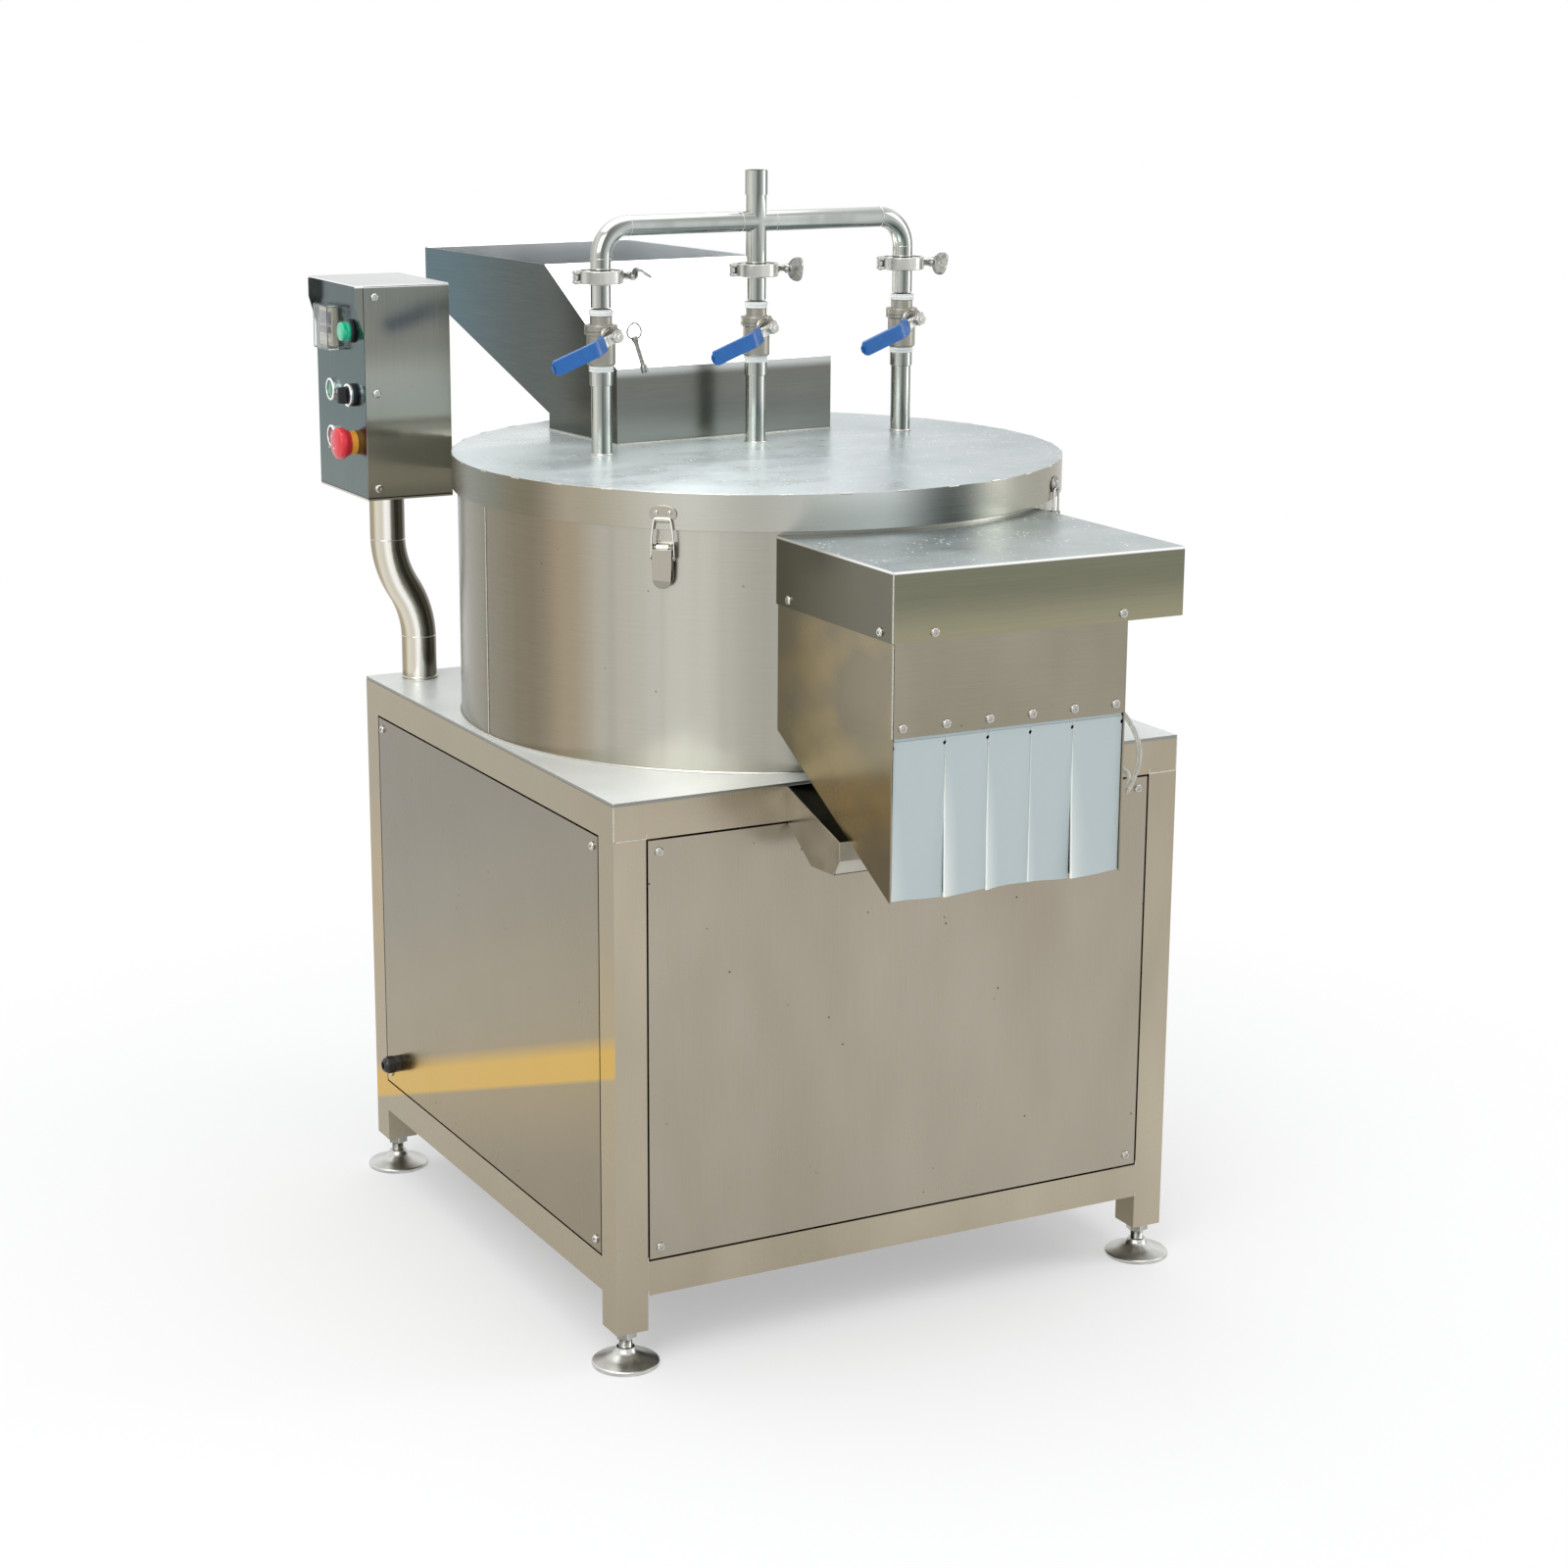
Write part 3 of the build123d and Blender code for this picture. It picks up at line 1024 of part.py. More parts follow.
def make_clamp(x):
    """Two-part pipe clamp round the ferrules, with its swing bolt and wing nut."""
    z = LID_HIGH + FERRULE_Z
    grip = FERRULE_T + GASKET_T / 2
    band = ring_z(CLAMP_R, PIPE_R + EPS, z - CLAMP_H / 2, z + CLAMP_H / 2, x, PIPE_Y)
    band = band - disc_z(FERRULE_R, z - grip, z + grip, x, PIPE_Y)
    slot = block(x - CLAMP_R * 1.2, x + CLAMP_R * 1.2, PIPE_Y - CLAMP_SPLIT, PIPE_Y + CLAMP_SPLIT, z - CLAMP_H,
                 z + CLAMP_H)
    band = band - slot
    ears = []
    for side in (-1, 1):
        for face in (-1, 1):
            xs = sorted((x + side * (CLAMP_R - CLAMP_EAR_IN), x + side * (CLAMP_R + CLAMP_SLOT)))
            ys = sorted((PIPE_Y + face * CLAMP_SPLIT, PIPE_Y + face * CLAMP_SLOT))
            ears.append(block(xs[0], xs[1], ys[0], ys[1], z - CLAMP_H / 3, z + CLAMP_H / 3))
    halves = []
    for face, half in zip((-1, 1), band.solids().sort_by(Axis.Y)):
        joined = half
        for ear in ears:
            if (ear.center().Y - PIPE_Y) * face > 0:
                joined = joined + (ear - disc_z(FERRULE_R, z - grip, z + grip, x, PIPE_Y))
        halves.append(joined)
    bolt_x = x + CLAMP_R + CLAMP_BOLT_OUT
    bolt = rod(CLAMP_BOLT_R, (bolt_x, PIPE_Y - CLAMP_BOLT_L, z), (bolt_x, PIPE_Y + CLAMP_SLOT, z))
    halves = [half - bolt for half in halves]
    boss = rod(WING_BOSS_R, (bolt_x, PIPE_Y - CLAMP_SLOT * 2.2, z), (bolt_x, PIPE_Y - CLAMP_SLOT, z))
    wing = block(bolt_x - WING_HALF_T, bolt_x + WING_HALF_T, PIPE_Y - CLAMP_SLOT * 2.4, PIPE_Y - CLAMP_SLOT * 1.6,
                 z - WING_HALF_H, z + WING_HALF_H)
    wing_nut = boss + wing - bolt
    pin_x = x - CLAMP_R - CLAMP_SLOT * 0.5
    pin = rod(CLAMP_BOLT_R, (pin_x, PIPE_Y - CLAMP_SPLIT, z), (pin_x, PIPE_Y + CLAMP_SPLIT, z))
    return halves + [bolt, wing_nut, pin]


def make_clamps():
    """Three pipe clamps."""
    pieces = []
    for x in PIPE_XS:
        pieces += make_clamp(x)
    add("pipe_clamps", on_lid(group(pieces)))


def make_valves():
    """Ball valves with their levers; each lever carries its stem and vinyl grip."""
    bodies = []
    z = LID_HIGH + VALVE_Z
    low = z - VALVE_H / 2
    high = z + VALVE_H / 2
    for k, x in enumerate(PIPE_XS):
        barrel = disc_z(VALVE_R, low, high, x, PIPE_Y)
        barrel = fillet(barrel.edges().filter_by(GeomType.CIRCLE), VALVE_ROUND)
        hexagon = extrude(RegularPolygon(VALVE_HEX_AF / 2, 6, major_radius=False), amount=VALVE_HEX_H)
        collar = Pos(x, PIPE_Y, high) * hexagon
        sleeve = disc_z(SLEEVE_R, low - SLEEVE_H, low, x, PIPE_Y)
        bonnet_y = PIPE_Y - VALVE_R - BONNET_OUT
        bonnet = rod(STEM_R + BONNET_WALL, (x, PIPE_Y, z), (x, bonnet_y, z))
        bore = disc_z(PIPE_R - PIPE_WALL, low - SLEEVE_H - EPS, high + VALVE_HEX_H + EPS, x, PIPE_Y)
        stem_hole = rod(STEM_R + RUN_FIT, (x, PIPE_Y, z), (x, bonnet_y - EPS, z))
        bodies.append(barrel + collar + sleeve + bonnet - bore - stem_hole)

        lever_y = PIPE_Y - STEM_OUT
        stem = rod(STEM_R, (x, PIPE_Y - PIPE_R, z), (x, lever_y - LEVER_T - STEM_PROUD, z))
        bar = block(x - LEVER_LEN * 0.4, x + LEVER_HEEL, lever_y - LEVER_T, lever_y, z - LEVER_W / 2,
                    z + LEVER_W / 2)
        out = LEVER_CRANK
        crank = plan_prism([(x - LEVER_LEN * 0.4, lever_y), (x - LEVER_LEN * 0.4, lever_y - LEVER_T),
                            (x - LEVER_LEN * 0.55, lever_y - out - LEVER_T), (x - LEVER_LEN * 0.55, lever_y - out)],
                           z - LEVER_W / 2, z + LEVER_W / 2)
        tail = block(x - LEVER_LEN, x - LEVER_LEN * 0.55, lever_y - out - LEVER_T, lever_y - out, z - LEVER_W / 2,
                     z + LEVER_W / 2)
        nut = rod(LEVER_NUT_R, (x, lever_y - LEVER_T, z), (x, lever_y - LEVER_T - LEVER_NUT_H, z))
        tip = x - LEVER_LEN - GRIP_TIP
        grip_y = lever_y - out - LEVER_T / 2
        grip_half = LEVER_W / 2 + GRIP_WALL
        grip = block(tip, tip + GRIP_LEN, grip_y - GRIP_T / 2, grip_y + GRIP_T / 2, z - grip_half, z + grip_half)
        lever = stem + bar + crank + tail + nut + grip
        turned = lever.rotate(Axis((x, PIPE_Y, z), (0, -1, 0)), LEVER_REST)
        add("valve_lever_%d" % (k + 1), on_lid(turned))
    add("valve_bodies", on_lid(group(bodies)))


def make_key():
    """Spare hexagon key on a split ring, hung from the left clamp's bolt by a loop of clear string."""
    x = PIPE_XS[0] + CLAMP_R + CLAMP_BOLT_OUT
    y = PIPE_Y - CLAMP_BOLT_L + STRING_R * 3
    bolt_z = LID_HIGH + FERRULE_Z
    loop_r = CLAMP_BOLT_R + STRING_R
    ring_z_mid = bolt_z - STRING_DROP
    loop = Pos(x, y, bolt_z) * Rot(90, 0, 0) * Torus(loop_r, STRING_R)
    string = loop + rod(STRING_R, (x, y, bolt_z - loop_r), (x, y, ring_z_mid + KEY_RING_R))
    ring = Pos(x, y, ring_z_mid) * Rot(90, 0, 0) * Torus(KEY_RING_R - KEY_RING_WIRE, KEY_RING_WIRE)
    low = ring_z_mid - KEY_RING_R
    shank = rod(KEY_R, (x, y, low), (x, y, low - KEY_LEN))
    socket = rod(KEY_R * 2, (x, y, low - KEY_LEN), (x, y, low - KEY_LEN - KEY_R * 4))
    add("panel_key", on_lid(group([string, ring, shank + socket])))


# ================================================================ latches
def latch_place(angle, shape):
    """Carry a latch piece, drawn facing +X on the X axis, to its angle round the drum."""
    return Rot(0, 0, angle) * Pos(0, 0, TOP + LATCH_PIVOT_Z) * shape


def make_latch_base():
    """Base plate on the drum with two ears and the lever's pin."""
    x0 = DRUM_R
    ear_x = DRUM_R + LATCH_PIVOT_OUT
    plate = block(x0, x0 + LATCH_SHEET, -BASE_HALF_W, BASE_HALF_W, -BASE_H, LATCH_PIN_R * 2)
    base = plate
    for side in (-1, 1):
        ys = sorted((side * BASE_HALF_W, side * (BASE_HALF_W - LATCH_SHEET)))
        base = base + block(x0, ear_x, ys[0], ys[1], -LATCH_EAR_R, LATCH_EAR_R)
        base = base + rod(LATCH_EAR_R, (ear_x, ys[0], 0), (ear_x, ys[1], 0))
    pin = rod(LATCH_PIN_R, (ear_x, -LEVER_HALF_W, 0), (ear_x, LEVER_HALF_W, 0))
    return base + pin


def make_latch_lever():
    """Channel-shaped lever round the base's ears, hanging from the pin."""
    x = DRUM_R + LATCH_PIVOT_OUT
    back = x + LATCH_CHANNEL
    front = back + LATCH_SHEET
    high = LATCH_PIN_R * 2.5
    plate = block(back, front, -LEVER_HALF_W, LEVER_HALF_W, high - LATCH_LEVER_LEN - high, high)
    lever = plate
    for side in (-1, 1):
        ys = sorted((side * LEVER_HALF_W, side * (LEVER_HALF_W - LATCH_SHEET)))
        lever = lever + block(x - LATCH_PIN_R * 1.6, back, ys[0], ys[1], -LATCH_THROW - LATCH_PIN_R * 1.6, high)
    pin_hole = rod(LATCH_PIN_R + PIN_FIT, (x, -BAIL_HALF_W, 0), (x, BAIL_HALF_W, 0))
    wire_hole = rod(LATCH_WIRE_R + PIN_FIT, (x, -BAIL_HALF_W, -LATCH_THROW), (x, BAIL_HALF_W, -LATCH_THROW))
    return lever - pin_hole - wire_hole


def make_latch_bail():
    """Wire bail: two legs from the lever's sides up to the bar over the keeper."""
    x = DRUM_R + LATCH_PIVOT_OUT
    bar_x = LID_R + LATCH_SHEET + LATCH_WIRE_GAP + LATCH_WIRE_R
    low = -LATCH_THROW
    high = low + BAIL_LEN
    inner = LEVER_HALF_W - LATCH_SHEET
    corners = [(x, -inner, low), (x, -BAIL_HALF_W, low), (bar_x, -BAIL_HALF_W, high), (bar_x, BAIL_HALF_W, high),
               (x, BAIL_HALF_W, low), (x, inner, low)]
    path = FilletPolyline(*[Vector(*c) for c in corners], radius=LATCH_WIRE_R * 1.3)
    section = Plane(origin=corners[0], z_dir=(0, -1, 0)) * Circle(LATCH_WIRE_R)
    return sweep(section, path=path)


def make_keeper():
    """Keeper plate on the lid's skirt, with two rivets and the ledge under the bail's bar."""
    high = -LATCH_THROW + BAIL_LEN - LATCH_WIRE_R - KEEPER_GAP
    x0 = LID_R
    x1 = x0 + LATCH_SHEET
    plate = block(x0, x1, -KEEPER_HALF_W, KEEPER_HALF_W, high - LATCH_SHEET, high + KEEPER_H)
    plate = fillet(plate.edges().filter_by(Axis.X), LATCH_SHEET * 3)
    ledge = block(x1, x1 + KEEPER_LEDGE, -KEEPER_LEDGE_HALF, KEEPER_LEDGE_HALF, high - LATCH_SHEET, high)
    keeper = plate + ledge
    for side in (-1, 1):
        y = side * KEEPER_HALF_W / 2
        z = high + KEEPER_H * 0.7
        keeper = keeper + rod(RIVET_R, (x1, y, z), (x1 + RIVET_H, y, z))
    return keeper


def make_latches():
    """Four toggle latches: bases on the drum, keepers on the lid, levers and bails by themselves."""
    add("latch_bases", group([latch_place(a, make_latch_base()) for a in LATCH_ANGLES]))
    add("latch_keepers", group([latch_place(a, make_keeper()) for a in LATCH_ANGLES]))
    for k, angle in enumerate(LATCH_ANGLES):
        add("latch_lever_%d" % (k + 1), latch_place(angle, make_latch_lever()))
        add("latch_bail_%d" % (k + 1), latch_place(angle, make_latch_bail()))


# ================================================================ control box
def panel_point(column, row, out=0.0):
    """Point on the box's operating face, a column and a row from its near bottom corner."""
    return (BOX_LEFT - out, BOX_NEAR + column, BOX_BOTTOM + row)


def panel_rod(radius, column, row, out0, out1):
    """Round bar square to the operating face."""
    return rod(radius, panel_point(column, row, out0), panel_point(column, row, out1))


def make_control_box():
    """Sheet box with a hood over its operating face and a screwed cover on its near side."""
    shell = block(BOX_LEFT, BOX_RIGHT, BOX_NEAR + BOX_SHEET, BOX_FAR, BOX_BOTTOM, BOX_TOP)
    inside = block(BOX_LEFT + BOX_SHEET, BOX_RIGHT - BOX_SHEET, BOX_NEAR - EPS, BOX_FAR - BOX_SHEET,
                   BOX_BOTTOM + BOX_SHEET, BOX_TOP - BOX_SHEET)
    roof = block(BOX_LEFT - HOOD_OVERHANG, BOX_LEFT, BOX_NEAR + BOX_SHEET, BOX_FAR, BOX_TOP - BOX_SHEET, BOX_TOP)
    cheek_line = [(BOX_LEFT, BOX_TOP), (BOX_LEFT - HOOD_OVERHANG, BOX_TOP),
                  (BOX_LEFT - HOOD_OVERHANG, BOX_TOP - HOOD_CHEEK), (BOX_LEFT, BOX_TOP - HOOD_CHEEK - HOOD_SLOPE)]
    cheek = extrude(Plane.XZ * make_face(Polyline(*cheek_line, close=True)), amount=-BOX_SHEET)
    near_cheek = Pos(0, BOX_NEAR + BOX_SHEET, 0) * cheek
    far_cheek = Pos(0, BOX_FAR - BOX_SHEET, 0) * cheek
    box = shell - inside + roof + near_cheek + far_cheek
    holes = [(COLUMN_FAR, ROW_MID, BUTTON_R), (COLUMN_FAR, ROW_LOW, BUTTON_R), (COLUMN_NEAR, ROW_MID, BUTTON_R),
             (COLUMN_NEAR, ROW_LOW, ESTOP_STEM_R), (COLUMN_NEAR, ROW_TOP, BUTTON_R)]
    for column, row, radius in holes:
        box = box - panel_rod(radius + BUTTON_FIT, column, row, -BOX_SHEET - EPS, EPS)
    box = box - disc_z(STAND_R - TUBE_WALL, BOX_BOTTOM - EPS, BOX_BOTTOM + BOX_SHEET + EPS, STAND_TOP_X, STAND_Y)
    cover = block(BOX_LEFT + SIDE_COVER_GAP, BOX_RIGHT, BOX_NEAR, BOX_NEAR + BOX_SHEET, BOX_BOTTOM,
                  BOX_TOP - BOX_SHEET - SIDE_COVER_GAP)
    for z in side_cover_rows():
        x = BOX_LEFT + BEZEL_R
        cover = cover - rod(SCREW_R, (x, BOX_NEAR - EPS, z), (x, BOX_NEAR + BOX_SHEET + EPS, z))
    add("control_box", group([box, cover]))


def side_cover_rows():
    """Heights of the three screws of the box's side cover."""
    return [BOX_BOTTOM + BEZEL_R, BOX_BOTTOM + BOX_H / 2, BOX_TOP - BEZEL_R]


def make_panel_fittings():
    """Buttons, selector, emergency stop, lamp and timer on the operating face."""
    bezels = []
    face = 0.0
    for row in (ROW_MID, ROW_LOW):
        ring = panel_rod(BEZEL_R, COLUMN_FAR, row, face, BEZEL_T)
        bezels.append(ring - panel_rod(BUTTON_R + BUTTON_FIT, COLUMN_FAR, row, -EPS, BEZEL_T + EPS))
    ring = panel_rod(BEZEL_R, COLUMN_NEAR, ROW_MID, face, SELECTOR_T)
    bezels.append(ring - panel_rod(BUTTON_R + BUTTON_FIT, COLUMN_NEAR, ROW_MID, -EPS, SELECTOR_T + EPS))
    lamp_bezel = panel_rod(BEZEL_R, COLUMN_NEAR, ROW_TOP, face, BEZEL_T)
    lamp_bezel = lamp_bezel - panel_rod(BUTTON_R, COLUMN_NEAR, ROW_TOP, -EPS, BEZEL_T + EPS)
    lens = panel_rod(LAMP_LENS_R, COLUMN_NEAR, ROW_TOP, BEZEL_T, BEZEL_T + LAMP_LENS_T)
    lens = lens + panel_rod(BUTTON_R, COLUMN_NEAR, ROW_TOP, -BUTTON_STEM, BEZEL_T)
    collar = panel_rod(ESTOP_COLLAR_R, COLUMN_NEAR, ROW_LOW, face, ESTOP_COLLAR_T)
    collar = collar - panel_rod(ESTOP_STEM_R + BUTTON_FIT, COLUMN_NEAR, ROW_LOW, -EPS, ESTOP_COLLAR_T + EPS)
    add("panel_fittings", group(bezels + [lamp_bezel, lens, collar]))

    for name, row in (("start_button", ROW_MID), ("stop_button", ROW_LOW)):
        add(name, panel_rod(BUTTON_R, COLUMN_FAR, row, -BUTTON_STEM, BEZEL_T + BUTTON_PROUD))

    knob = panel_rod(BUTTON_R, COLUMN_NEAR, ROW_MID, -BUTTON_STEM, SELECTOR_T + EPS)
    x, y, z = panel_point(COLUMN_NEAR, ROW_MID, SELECTOR_T + EPS)
    grip = block(x - SELECTOR_GRIP_H, x, y - SELECTOR_GRIP_L / 2, y + SELECTOR_GRIP_L / 2,
                 z - SELECTOR_GRIP_W / 2, z + SELECTOR_GRIP_W / 2)
    add("selector_knob", knob + grip)

    cap_low = ESTOP_COLLAR_T + ESTOP_TRAVEL + LID_REST
    cap = panel_rod(ESTOP_R, COLUMN_NEAR, ROW_LOW, cap_low, cap_low + ESTOP_CAP_T)
    cap = fillet(cap.edges().filter_by(GeomType.CIRCLE), ESTOP_CAP_T * 0.3)
    stem = panel_rod(ESTOP_STEM_R, COLUMN_NEAR, ROW_LOW, -BUTTON_STEM, cap_low)
    add("emergency_stop", cap + stem)

    x, y, z = panel_point(COLUMN_FAR, ROW_TOP)
    body = block(x - TIMER_T, x, y - TIMER_W / 2, y + TIMER_W / 2, z - TIMER_H / 2, z + TIMER_H / 2)
    add("timer", body)
    cover = block(x - TIMER_COVER_T, x - LID_REST, y - TIMER_COVER_W / 2, y + TIMER_COVER_W / 2,
                  z - TIMER_COVER_H / 2, z + TIMER_COVER_H / 2)
    wall = TIMER_COVER_WALL
    cover = cover - block(x - TIMER_COVER_T + wall, x + EPS, y - TIMER_COVER_W / 2 + wall,
                          y + TIMER_COVER_W / 2 - wall, z - TIMER_COVER_H / 2 + wall, z + TIMER_COVER_H / 2 - wall)
    add("timer_cover", cover)


def make_stand():
    """Bent tube that carries the control box."""
    low = Vector(-STAND_X, STAND_Y, TOP)
    bend_low = Vector(-STAND_X, STAND_Y, TOP + STAND_LOW + (STAND_HIGH - STAND_LOW) / 4)
    bend_high = Vector(STAND_TOP_X, STAND_Y, TOP + STAND_HIGH - (STAND_HIGH - STAND_LOW) / 4)
    high = Vector(STAND_TOP_X, STAND_Y, BOX_BOTTOM)
    first = (bend_high - bend_low)
    half_turn = math.radians(first.get_angle(Vector(0, 0, 1))) / 2
    radius = 0.48 * first.length / math.tan(half_turn)
    path = FilletPolyline(low, bend_low, bend_high, high, radius=radius)
    ring = Plane(origin=low, z_dir=(0, 0, 1)) * (Circle(STAND_R) - Circle(STAND_R - TUBE_WALL))
    add("box_stand", sweep(ring, path=path))


def make_gland():
    """Mains cable gland through the left panel."""
    body = rod(GLAND_R, (-HALF_W, GLAND_Y, GLAND_Z), (-HALF_W - GLAND_OUT * 0.3, GLAND_Y, GLAND_Z))
    dome = rod(GLAND_R * 0.9, (-HALF_W - GLAND_OUT * 0.3, GLAND_Y, GLAND_Z), (-HALF_W - GLAND_OUT, GLAND_Y, GLAND_Z))
    thread = rod(GLAND_R * 0.75, (-HALF_W, GLAND_Y, GLAND_Z), (-HALF_W + GLAND_OUT * 0.5, GLAND_Y, GLAND_Z))
    bore = rod(GLAND_BORE, (-HALF_W - GLAND_OUT - EPS, GLAND_Y, GLAND_Z), (-HALF_W + GLAND_OUT, GLAND_Y, GLAND_Z))
    add("cable_gland", body + dome + thread - bore)


def make_screws():
    """All button-head screws: cabinet panels, chute cover, curtain and control box."""
    screws = make_panel_screws()
    for seat, inward in cover_screw_places():
        screws.append(button_screw(seat, inward, COVER_T))
    for x in curtain_screw_xs():
        screws.append(button_screw((x, -CHUTE_FRONT, TOP + CURTAIN_SCREW_Z), (0, 1, 0), SHEET + CURTAIN_T))
    for z in side_cover_rows():
        screws.append(button_screw((BOX_LEFT + BEZEL_R, BOX_NEAR, z), (0, 1, 0), BOX_SHEET))
    add("button_head_screws", group(screws))


def build():
    """Make every node."""
    make_cabinet()
    make_feet()
    make_drum()
    make_disc()
    make_bearing_housing()
    make_pulleys_and_belts()
    make_motor()
    make_chute()
    make_chute_cover()
    make_curtain()
    make_door()
    make_air_cylinder()
    add("air_hose_1", make_hose(0))
    add("air_hose_2", make_hose(1))
    make_spout()
    make_lid()
    make_hopper()
    make_pipework()
    make_clamps()
    make_valves()
    make_key()
    make_latches()
    make_control_box()
    make_panel_fittings()
    make_stand()
    make_gland()
    make_screws()


def export():
    """Move the origin to the bottom centre of the outline and write one STEP file per node."""
    os.makedirs("parts", exist_ok=True)
    solids = [s for name, shape in NODES.items() if not name.startswith("air_hose") for s in shape.solids()]
    box = Compound(children=solids).bounding_box()
    shift = Pos(-(box.min.X + box.max.X) / 2, -(box.min.Y + box.max.Y) / 2, -box.min.Z)
    print("origin shift: %.3f %.3f %.3f" % tuple(shift.position))
    for name, shape in NODES.items():
        export_step(shift * shape, "parts/%s.step" % name)
    print(len(NODES), "nodes")


build()
export()
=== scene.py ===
"""Looks of the free-standing drum peeler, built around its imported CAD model.  Metres, +Z up."""
import json
import math

import bpy
from mathutils import Matrix, Vector


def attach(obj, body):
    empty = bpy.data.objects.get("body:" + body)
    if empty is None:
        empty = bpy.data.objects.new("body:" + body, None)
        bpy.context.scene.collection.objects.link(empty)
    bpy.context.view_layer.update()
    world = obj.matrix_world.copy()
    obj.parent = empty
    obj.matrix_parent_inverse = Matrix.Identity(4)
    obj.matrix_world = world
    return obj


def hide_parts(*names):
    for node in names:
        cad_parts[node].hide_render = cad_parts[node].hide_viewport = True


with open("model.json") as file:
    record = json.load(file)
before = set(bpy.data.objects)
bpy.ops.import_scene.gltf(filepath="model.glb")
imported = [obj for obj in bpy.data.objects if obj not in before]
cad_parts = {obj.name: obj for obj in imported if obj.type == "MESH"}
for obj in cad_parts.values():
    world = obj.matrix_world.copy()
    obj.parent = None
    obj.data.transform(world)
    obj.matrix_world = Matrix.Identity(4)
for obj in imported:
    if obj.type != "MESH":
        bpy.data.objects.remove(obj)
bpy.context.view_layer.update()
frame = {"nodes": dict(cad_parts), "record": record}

# Sizes in millimetres, heights from the floor, plan positions from the drum's axis.
MM = 0.001
AXIS = Vector((23.95, -22.213, 0.0))    # the drum's axis in the row frame
TOP = 680.0                             # upper face of the top plate
LID = 1004.8                            # upper face of the lid
DRUM_R = 371.0
LID_R = 378.0
COVER_TOP = 957.0                       # upper face of the chute cover
BOX_TOP = 1199.5                        # upper face of the control box
HALF_W = 379.0
HALF_D = 382.5
POST = 40.0
LID_TURN = math.radians(5.0)
PIPES = [-190.0, 33.0, 256.0]           # spray pipes, along the lid's own X
PIPE_Y = 55.0
VALVE_Z = 146.0
FERRULE_Z = 215.0
LEVER_REST = math.radians(19.5)
CHUTE_HALF = 150.5
CHUTE_FRONT = 599.5
LATCH_ANGLES = [-134.0, -46.0, 60.0, 120.0]
LATCH_Z = TOP + 262.0
BOX_FACE = -415.6                       # operating face of the control box
COLUMN_NEAR, COLUMN_FAR = 302.7, 373.7
ROW_LOW, ROW_MID, ROW_TOP = 1000.0, 1060.0, 1140.0
STAND = (-318.6, 344.7)
STAND_TOP_X = -358.6

RECORD = frame["record"]
BODY_OF = {node: body for body, nodes in RECORD["behaviour"]["bodies"].items() for node in nodes}


def machine(x=0.0, y=0.0, z=0.0):
    """Millimetres about a point of the machine, to the row frame."""
    return Matrix.Scale(MM, 4) @ Matrix.Translation(AXIS + Vector((x, y, z)))


def on_lid(x, y, z):
    """Millimetres about a point of the lid's turned fittings."""
    return machine() @ Matrix.Rotation(LID_TURN, 4, "Z") @ Matrix.Translation((x, y, LID + z))


def on_drum(angle, z):
    """Millimetres about the drum's axis, X turned outwards to an angle."""
    return machine(z=z) @ Matrix.Rotation(math.radians(angle), 4, "Z")


TO_FRONT = Matrix.Rotation(math.radians(90), 4, "X")     # local Z looks to the front, local Y up
TO_LEFT = Matrix.Rotation(math.radians(-90), 4, "Y")     # local Z looks to the left, local X up

# ------------------------------------------------------------------ materials


def linear(colour):
    """sRGB hex to the linear colour that a socket takes."""
    values = [int(colour[i:i + 2], 16) / 255 for i in (1, 3, 5)]
    return [v / 12.92 if v <= 0.04045 else ((v + 0.055) / 1.055) ** 2.4 for v in values] + [1.0]


def put(tree, kind, inputs=None, **settings):
    """Add a node with its settings; an input takes a value or another node's output."""
    made = tree.nodes.new("ShaderNode" + kind)
    for key, value in settings.items():
        setattr(made, key, value)
    for key, value in (inputs or {}).items():
        if isinstance(value, bpy.types.NodeSocket):
            tree.links.new(value, made.inputs[key])
        else:
            made.inputs[key].default_value = value
    return made


def blank(name):
    """New material with only a shader in it, and the shader."""
    made = bpy.data.materials.new(name)
    made.use_nodes = True
    tree = made.node_tree
    tree.nodes.clear()
    shader = put(tree, "BsdfPrincipled")
    output = put(tree, "OutputMaterial")
    tree.links.new(shader.outputs[0], output.inputs["Surface"])
    return made, tree, shader


def object_noise(tree, size_mm, detail=3.0, rough=0.55, turn=(0, 0, 0), shift=(0, 0, 0)):
    """Noise on Object coordinates whose cells are size_mm along X, Y and Z."""
    where = put(tree, "TexCoord").outputs["Object"]
    turned = put(tree, "Mapping", {"Vector": where, "Rotation": turn, "Location": shift})
    sized = put(tree, "Mapping", {"Vector": turned.outputs[0], "Scale": [1 / (s * MM) for s in size_mm]})
    inputs = {"Vector": sized.outputs[0], "Scale": 1.0, "Detail": detail, "Roughness": rough}
    return put(tree, "TexNoise", inputs).outputs["Fac"]


def ramp(tree, value, low, high, out_low=0.0, out_high=1.0):
    """Map low..high of a value to out_low..out_high, clamped."""
    inputs = {"Value": value, "From Min": low, "From Max": high, "To Min": out_low, "To Max": out_high}
    return put(tree, "MapRange", inputs, clamp=True).outputs["Result"]


def mix(tree, factor, first, second):
    """Blend two colours, given as hex or as outputs."""
    made = put(tree, "Mix", data_type="RGBA")
    for socket, value in ((made.inputs[0], factor), (made.inputs[6], first), (made.inputs[7], second)):
        if isinstance(value, bpy.types.NodeSocket):
            tree.links.new(value, socket)
        else:
            socket.default_value = linear(value) if isinstance(value, str) else value
    return made.outputs[2]


def math_of(tree, operation, first, second=0.0):
    """One arithmetic step."""
    return put(tree, "Math", {0: first, 1: second}, operation=operation).outputs[0]


